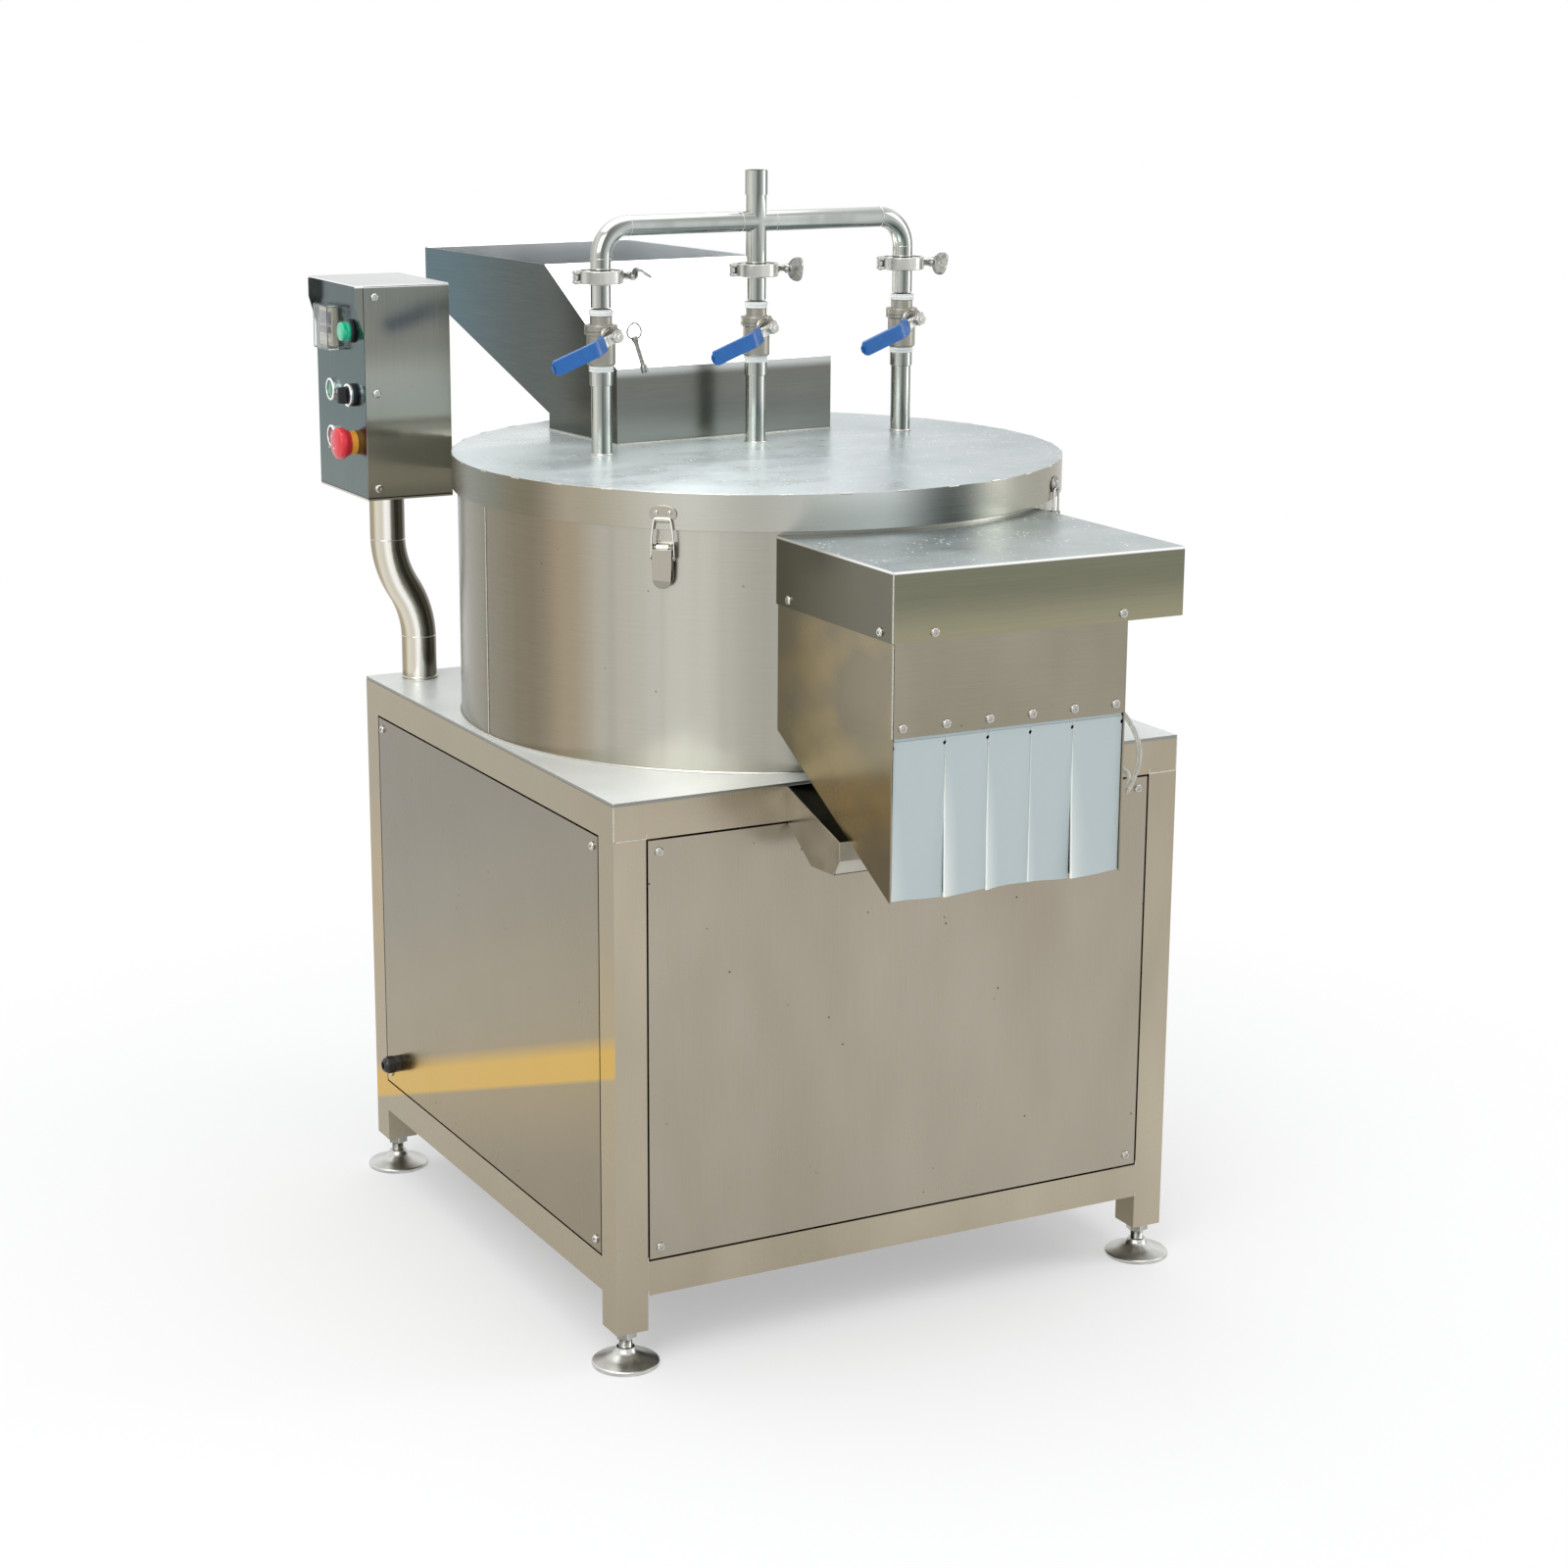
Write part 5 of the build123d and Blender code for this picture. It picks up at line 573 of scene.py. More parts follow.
def soften(piece, width, segments=2, angle=30, smooth=35):
    """Round the sharp edges of a piece and shade it smooth, flat faces kept flat."""
    only(piece)
    if width:
        bevel = piece.modifiers.new("edges", "BEVEL")
        bevel.width = width
        bevel.segments = segments
        bevel.limit_method = "ANGLE"
        bevel.angle_limit = math.radians(angle)
        bevel.use_clamp_overlap = True
        keep_modifiers(piece)
    bpy.ops.object.shade_smooth_by_angle(angle=math.radians(smooth))
    weighted = piece.modifiers.new("flat_faces", "WEIGHTED_NORMAL")
    weighted.keep_sharp = True
    keep_modifiers(piece)


def begin(name):
    """New mesh of one loose point at the origin, left in edit mode."""
    bpy.ops.object.select_all(action="DESELECT")
    bpy.ops.mesh.primitive_plane_add(size=2)
    piece = bpy.context.object
    piece.name = name
    bpy.ops.object.mode_set(mode="EDIT")
    bpy.ops.mesh.select_all(action="SELECT")
    bpy.ops.mesh.merge(type="CENTER")
    return piece


def draw(points):
    """Move the loose point to the first place and extrude it through the rest."""
    here = Vector(points[0])
    bpy.ops.transform.translate(value=here)
    for point in points[1:]:
        there = Vector(point)
        bpy.ops.mesh.extrude_region_move(TRANSFORM_OT_translate={"value": there - here})
        here = there


def close_up():
    """Merge what lies together, turn all faces outwards and leave edit mode."""
    bpy.ops.mesh.select_all(action="SELECT")
    bpy.ops.mesh.remove_doubles(threshold=0.001)
    bpy.ops.mesh.normals_make_consistent(inside=False)
    bpy.ops.object.mode_set(mode="OBJECT")


def lathe(name, profile, steps=40):
    """Solid of revolution about Z through (radius, height) points."""
    piece = begin(name)
    draw([(radius, 0, height) for radius, height in profile])
    bpy.ops.mesh.select_all(action="SELECT")
    bpy.ops.mesh.spin(steps=steps, angle=math.tau, center=(0, 0, 0), axis=(0, 0, 1))
    close_up()
    return piece


def ring(inner, outer, low, high, chamfer):
    """Closed profile of a ring with chamfered outer edges, for lathe."""
    return [(inner, low), (outer - chamfer, low), (outer, low + chamfer), (outer, high - chamfer),
            (outer - chamfer, high), (inner, high), (inner, low)]


def rod(radius, low, high, chamfer):
    """Profile of a solid rod with chamfered ends, for lathe."""
    return [(0, low), (radius - chamfer, low), (radius, low + chamfer), (radius, high - chamfer),
            (radius - chamfer, high), (0, high)]


def slab(name, outline, along):
    """Prism: a closed flat outline of points, extruded along a vector."""
    piece = begin(name)
    draw(list(outline) + [outline[0]])
    bpy.ops.mesh.select_all(action="SELECT")
    bpy.ops.mesh.remove_doubles(threshold=0.001)
    bpy.ops.mesh.edge_face_add()
    bpy.ops.mesh.extrude_region_move(TRANSFORM_OT_translate={"value": along})
    close_up()
    return piece


def oval(half_width, half_height, count=28, power=2.0):
    """Points of an ellipse, or with a higher power of a rounded rectangle."""
    points = []
    for k in range(count):
        a = math.tau * k / count
        c, s = math.cos(a), math.sin(a)
        points.append((math.copysign(half_width * abs(c) ** (2 / power), c),
                       math.copysign(half_height * abs(s) ** (2 / power), s)))
    return points


def wire(name, points, radius, sides=3, closed=False):
    """Round bar along a smooth line through control points, as a mesh."""
    line = bpy.data.curves.new(name, "CURVE")
    line.dimensions = "3D"
    line.bevel_depth = radius
    line.bevel_resolution = sides
    line.resolution_u = 8
    line.use_fill_caps = True
    spline = line.splines.new("NURBS")
    spline.points.add(len(points) - 1)
    for point, place in zip(spline.points, points):
        point.co = (*place, 1)
    spline.order_u = 3
    spline.use_endpoint_u = not closed
    spline.use_cyclic_u = closed
    piece = bpy.data.objects.new(name, line)
    bpy.context.collection.objects.link(piece)
    only(piece)
    bpy.ops.object.convert(target="MESH")
    return bpy.context.object


def shift_rows(piece, axis, shift):
    """Move each row of points that share a coordinate along an axis by shift(coordinate)."""
    only(piece)
    for row in sorted({round(v.co[axis], 3) for v in piece.data.vertices}):
        bpy.ops.object.mode_set(mode="EDIT")
        bpy.ops.mesh.select_all(action="DESELECT")
        bpy.ops.object.mode_set(mode="OBJECT")
        for vertex in piece.data.vertices:
            vertex.select = abs(vertex.co[axis] - row) < 0.01
        bpy.ops.object.mode_set(mode="EDIT")
        bpy.ops.transform.translate(value=shift(row))
        bpy.ops.object.mode_set(mode="OBJECT")


def join(*pieces):
    """One mesh of several pieces."""
    only(*pieces)
    bpy.ops.object.join()
    return pieces[0]


def turned_copy(piece, matrix):
    """Copy with its own mesh, put in place inside the same part."""
    copy = piece.copy()
    copy.data = piece.data.copy()
    bpy.context.collection.objects.link(copy)
    settle(copy, matrix)
    return copy


def settle(piece, matrix):
    """Move a piece to its place and keep the place in its mesh."""
    only(piece)
    piece.matrix_world = matrix
    bpy.ops.object.transform_apply(location=True, rotation=True, scale=True)


def belong(piece, node, finish, replaces=True):
    """Give a piece its material and its body, and hide the CAD node that it stands for when it replaces it."""
    piece.data.materials.clear()
    piece.data.materials.append(finish)
    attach(piece, BODY_OF[node])
    if replaces:
        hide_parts(node)


def place(piece, matrix, node, finish, bevel=0.3, angle=30, replaces=True):
    """Round a piece's edges, settle it and attach it; sizes are millimetres until here."""
    soften(piece, bevel, 2, angle)
    settle(piece, matrix)
    belong(piece, node, finish, replaces)
    return piece


def dressed(node, width, flatten=True):
    """Clean copy of a CAD node with rounded edges, standing for the node."""
    source = frame["nodes"][node]
    piece = source.copy()
    piece.data = source.data.copy()
    piece.name = node + "_finished"
    bpy.context.collection.objects.link(piece)
    only(piece)
    if piece.data.has_custom_normals:
        bpy.ops.mesh.customdata_custom_splitnormals_clear()
    bpy.ops.object.mode_set(mode="EDIT")
    bpy.ops.mesh.select_all(action="SELECT")
    bpy.ops.mesh.remove_doubles(threshold=0.000002)
    bpy.ops.mesh.tris_convert_to_quads(face_threshold=math.radians(0.5), shape_threshold=math.radians(180))
    if flatten:
        bpy.ops.mesh.dissolve_limited(angle_limit=math.radians(0.5))
    bpy.ops.object.mode_set(mode="OBJECT")
    soften(piece, width, smooth=35 if flatten else 5)
    belong(piece, node, FINISH[node])
    return piece


# ------------------------------------------------------------------ camera and hoses


def make_camera():
    """Camera on the machine's front left corner, a little above the lid."""
    yaw, pitch, roll = math.radians(28.267338), math.radians(14.002), math.radians(0.34969)
    ahead = Vector((math.sin(yaw) * math.cos(pitch), math.cos(yaw) * math.cos(pitch), -math.sin(pitch)))
    level = Vector((math.cos(yaw), -math.sin(yaw), 0))
    over = level.cross(ahead)
    right = level * math.cos(roll) + over * math.sin(roll)
    up = over * math.cos(roll) - level * math.sin(roll)
    data = bpy.data.cameras.new("camera")
    data.lens = 70.985
    data.sensor_width = 36
    holder = bpy.data.objects.new("camera", data)
    bpy.context.collection.objects.link(holder)
    turn = Matrix((right, up, -ahead)).transposed().to_4x4()
    holder.matrix_world = Matrix.Translation((-1.75655, -3.40961, 1.5299)) @ turn
    bpy.context.scene.camera = holder


def hose(node, route):
    """Pneumatic hose along a route given in metres from the drum's axis."""
    line = bpy.data.curves.new(node, "CURVE")
    line.dimensions = "3D"
    line.bevel_depth = 3 * MM
    line.bevel_resolution = 4
    line.resolution_u = 10
    line.use_fill_caps = True
    spline = line.splines.new("NURBS")
    spline.points.add(len(route) - 1)
    places = [Vector(point) + AXIS * MM for point in route]
    for point, at in zip(spline.points, places):
        point.co = (*at, 1)
    spline.order_u = 3
    spline.use_endpoint_u = True
    piece = bpy.data.objects.new(node + "_finished", line)
    bpy.context.collection.objects.link(piece)
    belong(piece, node, HOSE_PU)


make_camera()
hose("air_hose_1",
     [(0.190, -0.446, 0.772), (0.190, -0.472, 0.772), (0.199, -0.494, 0.766), (0.210, -0.516, 0.748),
      (0.220, -0.528, 0.722), (0.223, -0.528, 0.694), (0.221, -0.517, 0.669), (0.228, -0.496, 0.650),
      (0.245, -0.474, 0.645), (0.265, -0.450, 0.651), (0.275, -0.424, 0.658), (0.275, -0.3965, 0.658)])
hose("air_hose_2",
     [(0.190, -0.446, 0.752), (0.190, -0.466, 0.752), (0.195, -0.486, 0.746), (0.203, -0.502, 0.728),
      (0.208, -0.506, 0.704), (0.208, -0.500, 0.681), (0.211, -0.484, 0.663), (0.221, -0.464, 0.654),
      (0.236, -0.444, 0.654), (0.250, -0.420, 0.658), (0.250, -0.3965, 0.658)])

# ------------------------------------------------------------------ pieces that stay as the CAD has them
EDGES = {
    "cabinet_frame": 2.5, "top_plate": 1.0, "front_panel": 0.9, "rear_panel": 0.9, "left_panel": 0.9,
    "right_panel": 0.9, "chute_body": 0.5, "chute_cover": 1.6, "hopper": 1.2, "control_box": 1.5, "waste_spout": 0.5,
    "lid": 1.2, "drum_shell": 0.3, "discharge_door": 0.5, "motor": 1.0, "motor_bracket": 1.0,
    "abrasive_disc": 1.5, "disc_shaft": 1.0, "bearing_housing": 1.0, "motor_pulley": 0.8, "drive_belts": 0.8,
    "air_cylinder": 0.7, "curtain_band": 0.4, "button_head_screws": 0.0, "drum_lining": 0.0,
    "bearings_and_seal": 0.3, "spray_pipework": 0.0, "box_stand": 0.0,
}
for node, width in EDGES.items():
    dressed(node, width * MM, node != "cabinet_frame")

# ------------------------------------------------------------------ levelling feet and gland


def levelling_foot(name, x, y):
    """Turned disc with a rolled rim, threaded stud and lock nut."""
    disc = lathe(name + "_disc", [(0, 0), (37, 0), (39.4, 0.8), (40, 2.5), (39.6, 4.5), (38, 6), (26, 9.5),
                                  (15, 15), (11.6, 19), (11, 22), (0, 22)], 56)
    place(disc, machine(x, y), "levelling_feet", FOOT_STEEL, 0.4, 40)
    thread = [(0, 20)]
    for k in range(20):
        low = 20 + 1.75 * k
        thread += [(7.2, low), (8, low + 0.85)]
    stud = lathe(name + "_stud", thread + [(7.2, 55), (0, 55)], 28)
    place(stud, machine(x, y), "levelling_feet", TURNED_STEEL, 0)
    corner = 24 / math.sqrt(3)
    flats = [(corner * math.cos(math.radians(a)), corner * math.sin(math.radians(a)), 0) for a in range(15, 375, 60)]
    nut = slab(name + "_lock_nut", flats, (0, 0, 11))
    place(nut, machine(x, y, 34), "levelling_feet", SCREW_STEEL, 0.9)


def cable_gland():
    """Hexagon body and ribbed cap with an open bore."""
    where = machine(-HALF_W, 295.4, 169) @ TO_LEFT
    flats = [(12 * math.cos(math.radians(a)), 12 * math.sin(math.radians(a)), 0) for a in range(0, 360, 60)]
    body = slab("gland_body", flats, (0, 0, 8))
    place(body, where, "cable_gland", BLACK_NYLON, 0.8)
    cap = lathe("gland_cap", [(5, 8), (10.6, 8), (10.6, 18), (9.6, 21), (7, 23.6), (5.2, 24), (5, 23.6), (5, 8)], 40)
    ribs = []
    rib = slab("gland_rib", [(-0.8, -0.7, 8.6), (0.8, -0.7, 8.6), (0.8, 0.7, 8.6), (-0.8, 0.7, 8.6)], (0, 0, 9))
    for k in range(16):
        turn = Matrix.Rotation(math.tau * k / 16, 4, "Z") @ Matrix.Translation((10.7, 0, 0))
        ribs.append(turned_copy(rib, turn))
    bpy.data.objects.remove(rib)
    place(join(cap, *ribs), where, "cable_gland", BLACK_NYLON, 0.3)


for k, (side, end) in enumerate(((-1, -1), (1, -1), (1, 1), (-1, 1))):
    levelling_foot("foot_%d" % (k + 1), side * 359, end * 362.5)
cable_gland()

# ------------------------------------------------------------------ valves and their levers


def valve_body(name, x):
    """Screwed ball valve: cast body, collar, adaptor neck, stem boss and tape in both joints."""
    axis = on_lid(x, PIPE_Y, 0)
    body = lathe(name + "_casting", [
        (12.9, 109), (16.6, 109), (17.4, 110.2), (17.6, 112), (17.6, 144.6), (18.4, 145.4), (19.6, 145.8), (20.2, 146.6),
        (20.2, 149.2), (19.4, 149.7), (20.2, 150.2), (20.2, 156.6), (19.4, 158), (14.4, 158.2), (13.9, 158.8),
        (13.9, 167.6), (13.2, 168.4), (12.9, 168.4), (12.9, 109)], 56)
    place(body, axis, "valve_bodies", VALVE_STEEL, 0.35, 25)
    boss = lathe(name + "_stem_boss", [(0, 30), (11.5, 30), (11.5, 33.5), (9.4, 35.5), (9, 38.5), (8.2, 39.6), (0, 39.6)], 36)
    place(boss, on_lid(x, PIPE_Y, VALVE_Z) @ TO_FRONT @ Matrix.Translation((0, 0, -15)), "valve_bodies",
          VALVE_STEEL, 0.4)
    stem = lathe(name + "_stem", rod(4.2, 20, 45.2, 0.8), 24)
    place(stem, on_lid(x, PIPE_Y, VALVE_Z) @ TO_FRONT, "valve_bodies", TURNED_STEEL, 0.2)
    stop = slab(name + "_stop_plate", [(a, b, 25.6) for a, b in oval(12.5, 9, 24, 3.0)], (0, 0, 2.2))
    turn = Matrix.Rotation(math.radians(32), 4, "Z")
    place(stop, on_lid(x, PIPE_Y, VALVE_Z) @ TO_FRONT @ turn, "valve_bodies", VALVE_STEEL, 0.6)
    for low, high, wide in ((100.5, 109.4, 14.8), (168.0, 176.2, 15.2)):
        wraps = [(12.8, low)]
        for k in range(9):
            height = low + (high - low) * (k + 0.5) / 9
            wraps.append((wide + 0.8 * math.sin(2.3 * k + x) + 0.4 * math.cos(5.1 * k), height))
        tape = lathe("%s_tape_%d" % (name, low), wraps + [(12.8, high), (12.8, low)], 40)
        place(tape, axis, "valve_bodies", PTFE, 0)
    socket = lathe(name + "_socket", ring(12.75, 14.3, 84, 101.5, 0.7), 48)
    place(socket, axis, "valve_bodies", PIPE_STEEL, 0.3)


def lever_bend(distance):
    """Depth of the lever's middle plane at a distance from the stem: a smooth step to the front."""
    t = min(max((distance - 12) / 26, 0), 1)
    return 17.75 - 12 * t * t * (3 - 2 * t)


def valve_lever(number, x):
    """Steel strap on the stem's nut, cranked forwards, with a dipped blue grip over its outer part."""
    node = "valve_lever_%d" % number
    hub = on_lid(x, 0, VALVE_Z) @ Matrix.Rotation(-LEVER_REST, 4, "Y")
    stations = [-9, 6, 12, 16, 20, 24, 28, 32, 36, 40, 60, 90]
    upper = [(-s, lever_bend(s) - 1.25, -6.5) for s in stations]
    lower = [(-s, lever_bend(s) + 1.25, -6.5) for s in reversed(stations)]
    strap = slab(node + "_strap", upper + lower, (0, 0, 13))
    place(strap, hub, node, TURNED_STEEL, 0.5, 50)
    stations = [19, 24, 29, 34, 40, 60, 80, 100]
    upper = [(-s, lever_bend(s) - 3, -9.3) for s in stations]
    lower = [(-s, lever_bend(s) + 3, -9.3) for s in reversed(stations)]
    grip = slab(node + "_grip", upper + lower, (0, 0, 18.6))
    bpy.ops.object.mode_set(mode="EDIT")
    bpy.ops.mesh.select_all(action="DESELECT")
    bpy.ops.object.mode_set(mode="OBJECT")
    for edge in grip.data.edges:
        ends = [grip.data.vertices[v].co for v in edge.vertices]
        edge.select = abs(ends[0].z - ends[1].z) < 0.1 and ends[0].x == ends[1].x and ends[0].x < -99
    bpy.ops.object.mode_set(mode="EDIT")
    bpy.ops.mesh.bevel(offset=6.5, segments=5, affect="EDGES")
    close_up()
    place(grip, hub, node, BLUE_VINYL, 1.9, 60)
    washer = lathe(node + "_washer", rod(8.2, 0, 1.4, 0.3), 32)
    place(washer, on_lid(x, 16.6, VALVE_Z) @ TO_FRONT, node, SCREW_STEEL, 0.2)
    flats = [(7.2 * math.cos(math.radians(a)), 7.2 * math.sin(math.radians(a)), 1.4) for a in range(10, 370, 60)]
    nut = slab(node + "_nut", flats, (0, 0, 5.2))
    place(nut, on_lid(x, 16.6, VALVE_Z) @ TO_FRONT, node, SCREW_STEEL, 0.8)
    end = lathe(node + "_stem_end", [(0, 6.1), (3.6, 6.1), (3.6, 7.4), (2.9, 8), (1.6, 8), (1.5, 7.2), (0, 7.2)], 24)
    place(end, on_lid(x, 16.6, VALVE_Z) @ TO_FRONT, node, TURNED_STEEL, 0.15)


for k, x in enumerate(PIPES):
    valve_body("valve_%d" % (k + 1), x)
    valve_lever(k + 1, x)

# ------------------------------------------------------------------ pipe clamps


def pipe_clamp(name, x, wing_turn):
    """Hinged band with a V groove, swing bolt and cupped wing nut."""
    where = on_lid(x, PIPE_Y, FERRULE_Z)
    band = lathe(name + "_band", [(23.6, -8), (27.2, -8), (28, -7.2), (28, 7.2), (27.2, 8), (23.6, 8), (23.6, 7.2),
                                  (25.4, 7.2), (25.4, -7.2), (23.6, -7.2), (23.6, -8)], 64)
    place(band, where, "pipe_clamps", CLAMP_STEEL, 0.5)
    hinge = where @ Matrix.Rotation(math.radians(168), 4, "Z")
    for low, high, label in ((-8, -3.6, "lower"), (3.6, 8, "upper")):
        prong = slab("%s_%s_prong" % (name, label),
                     [(26, -5.5, low), (31, -5.5, low), (34.6, -4, low), (36, 0, low), (34.6, 4, low), (31, 5.5, low),
                      (26, 5.5, low)], (0, 0, high - low))
        place(prong, hinge, "pipe_clamps", CLAMP_STEEL, 1.2)
    knuckle = lathe(name + "_knuckle", rod(4.4, -3.3, 3.3, 0.6), 28)
    place(knuckle, hinge @ Matrix.Translation((31, 0, 0)), "pipe_clamps", CLAMP_STEEL, 0.3)
    pin = lathe(name + "_pin", rod(2.4, -8.9, 8.9, 0.5), 24)
    place(pin, hinge @ Matrix.Translation((31, 0, 0)), "pipe_clamps", SCREW_STEEL, 0.2)
    ears = where @ Matrix.Rotation(math.radians(30), 4, "Z")
    for low, high, label in ((1.6, 11, "rear"), (-12, -1.6, "front")):
        ear = slab("%s_%s_ear" % (name, label),
                   [(25, low, -7.4), (35, low, -7.4), (38, low, -4.4), (38, low, 4.4), (35, low, 7.4), (25, low, 7.4)],
                   (0, high - low, 0))
        place(ear, ears, "pipe_clamps", CLAMP_STEEL, 1.4)
    bolt = ears @ Matrix.Translation((33, 0, 0)) @ TO_FRONT
    thread = [(0, -13)]
    for k in range(34):
        thread += [(2.35, -13 + 1.25 * k), (2.7, -12.4 + 1.25 * k)]
    swing = lathe(name + "_swing_bolt", thread + [(0, 30)], 20)
    place(swing, bolt, "pipe_clamps", SCREW_STEEL, 0)
    nut = lathe(name + "_nut", [(0, 15), (4.6, 15), (5.2, 15.8), (5.2, 22), (6.4, 24.5), (6.4, 28), (4.4, 30.5),
                                (0, 31)], 32)
    place(nut, bolt, "pipe_clamps", SCREW_STEEL, 0.3)
    wing = slab(name + "_wing", [(0, b, a) for a, b in oval(10.5, 15, 36, 2.4)], (3.2, 0, 0))
    shift_rows(wing, 1, lambda row: (0.024 * row * row - 1.6, 0, 0))
    turn = Matrix.Rotation(math.radians(wing_turn), 4, "Z")
    place(wing, bolt @ turn @ Matrix.Translation((0, 0, 38)), "pipe_clamps", WING_STEEL, 1.2, 50)


for k, (x, wing_turn) in enumerate(zip(PIPES, (68, -8, -24))):
    pipe_clamp("clamp_%d" % (k + 1), x, wing_turn)


def panel_key():
    """Square key on a ring, hung from the left clamp by a nylon line."""
    where = on_lid(PIPES[0] + 33.2, PIPE_Y - 22.6, FERRULE_Z)
    line = wire("key_line", [(6, 18, 4), (10, 14, 7), (12, 12, 0), (6, 9, -6), (3, 4, -24), (1, 1, -44), (0, 0, -56)],
                0.55, 2)
    place(line, where, "panel_key", NYLON_LINE, 0)
    circle = [(10.5 * math.cos(math.tau * k / 8), 1.5 * math.sin(math.tau * k / 4), -65 + 10.5 * math.sin(math.tau * k / 8))
              for k in range(8)]
    place(wire("key_ring", circle, 1.1, 3, closed=True), where, "panel_key", KEY_STEEL, 0)
    lean = where @ Matrix.Translation((1, 0, -74)) @ Matrix.Rotation(math.radians(-19), 4, "Y")
    shank = lathe("key_shank", [(0, 2), (3.4, 2), (4.2, 0.5), (4.2, -2.5), (3, -5), (2.7, -8), (2.7, -32), (2.9, -34),
                                (4.4, -36), (4.4, -43.4), (3.8, -44), (2.4, -44), (2.2, -40), (0, -40)], 28)
    place(shank, lean, "panel_key", KEY_STEEL, 0.2)


panel_key()

# ------------------------------------------------------------------ latches


def tall(outline, x):
    """Points of a (Y, Z) outline in the plane at X."""
    return [(x, a, b) for a, b in outline]


def latch(number, angle):
    """Over-centre latch: oval keeper with two rivets, base, bent lever with a rolled knuckle, wire bail."""
    where = on_drum(angle, LATCH_Z)
    keeper = slab("keeper_%d" % number, tall([(a, b + 38.2) for a, b in oval(16.5, 9.5, 36, 2.2)], 378.2), (1.3, 0, 0))
    place(keeper, where, "latch_keepers", LATCH_STEEL, 0.5)
    hook = slab("keeper_hook_%d" % number, [(378.4, -9, 34), (379.4, -9, 34), (379.8, -9, 30.2), (380.8, -9, 29.6),
                                            (381.6, -9, 30.4), (382.5, -9, 30), (381.4, -9, 28.5), (379.2, -9, 28.7),
                                            (378.4, -9, 30)], (0, 18, 0))
    place(hook, where, "latch_keepers", LATCH_STEEL, 0.25, 50)
    for side in (-8, 8):
        rivet = lathe("keeper_%d_rivet_%s" % (number, "left" if side < 0 else "right"),
                      [(0, 0), (2.9, 0), (2.8, 0.5), (2.1, 1.2), (1.1, 1.55), (0, 1.65)], 24)
        seat = Matrix.Translation((379.4, side, 39.6)) @ Matrix.Rotation(math.radians(90), 4, "Y")
        place(rivet, where @ seat, "latch_keepers", SCREW_STEEL, 0)
    base = slab("latch_base_plate_%d" % number,
                tall([(10, 4), (-10, 4), (-10, -38), (-8.4, -42), (-5, -44), (5, -44), (8.4, -42), (10, -38)], 371.1),
                (1.4, 0, 0))
    place(base, where, "latch_bases", LATCH_STEEL, 0.4)
    for side in (-10, 8.6):
        cheek = slab("latch_base_cheek_%d_%s" % (number, "left" if side < 0 else "right"),
                     [(371.2, side, 4), (378, side, 4), (382.4, side, 1.5), (382.6, side, -1.5), (378.5, side, -5),
                      (371.2, side, -16)], (0, 1.4, 0))
        place(cheek, where, "latch_bases", LATCH_STEEL, 0.3)
    across = Matrix.Translation((380, 0, 0)) @ Matrix.Rotation(math.radians(90), 4, "X")
    pin = lathe("latch_pin_%d" % number, rod(2, -12.6, 12.6, 0.4), 20)
    place(pin, where @ across, "latch_bases", SCREW_STEEL, 0.2)
    lever = "latch_lever_%d" % number
    side = [(11.9, -2), (11.4, -30), (11, -38), (10.2, -41.4), (8.3, -44.4), (5.2, -46.6), (0, -47.6), (-5.2, -46.6),
            (-8.3, -44.4), (-10.2, -41.4), (-11, -38), (-11.4, -30), (-11.9, -2)]
    plate = slab(lever + "_plate", tall(side, 383.2), (1.4, 0, 0))
    bpy.ops.object.mode_set(mode="EDIT")
    for low in (-37.0, -39.5):
        bpy.ops.mesh.select_all(action="SELECT")
        bpy.ops.mesh.bisect(plane_co=(383, 0, low), plane_no=(0, 0, 1))
    bpy.ops.object.mode_set(mode="OBJECT")
    shift_rows(plate, 2, lambda row: (0.3 * min(row + 37.0, 0.0), 0, 0))
    place(plate, where, lever, LATCH_STEEL, 0.4, 50)
    for end in (-11.9, 10.6):
        flange = slab("%s_flange_%s" % (lever, "left" if end < 0 else "right"),
                      [(383.6, end, 4.6), (380, end, 4.2), (377, end, 1), (376.8, end, -8), (380, end, -14),
                       (383.6, end, -26)], (0, 1.3, 0))
        place(flange, where, lever, LATCH_STEEL, 0.3)
    knuckle = lathe(lever + "_knuckle", [(2.15, -7.4), (3.0, -7.4), (3.3, -7), (3.3, 7), (3.0, 7.4), (2.15, 7.4),
                                         (2.15, -7.4)], 28)
    place(knuckle, where @ across, lever, CHROME, 0.2)
    bail = "latch_bail_%d" % number
    path = [(380, 13.6, -12), (380.2, 13.6, -6), (380.8, 13.0, 12), (381.2, 10.6, 28), (381.25, 9.6, 32.6),
            (381.25, 7.2, 33), (381.25, -7.2, 33), (381.25, -9.6, 32.6), (381.2, -10.6, 28), (380.8, -13.0, 12),
            (380.2, -13.6, -6), (380, -13.6, -12)]
    place(wire(bail + "_wire", path, 1.2, 4), where, bail, WIRE_STEEL, 0)
    for side in (-13.6, 13.6):
        eye = lathe("%s_eye_%s" % (bail, "left" if side < 0 else "right"),
                    ring(1.3, 3.0, -0.9, 0.9, 0.4), 24)
        turn = Matrix.Translation((380, side, -12)) @ Matrix.Rotation(math.radians(90), 4, "X")
        place(eye, where @ turn, bail, SCREW_STEEL, 0)


for k, angle in enumerate(LATCH_ANGLES):
    latch(k + 1, angle)

# ------------------------------------------------------------------ control panel


def on_panel(column, row):
    """Local frame of a panel fitting: X up, Z out of the operating face."""
    return machine(BOX_FACE, column, row) @ TO_LEFT


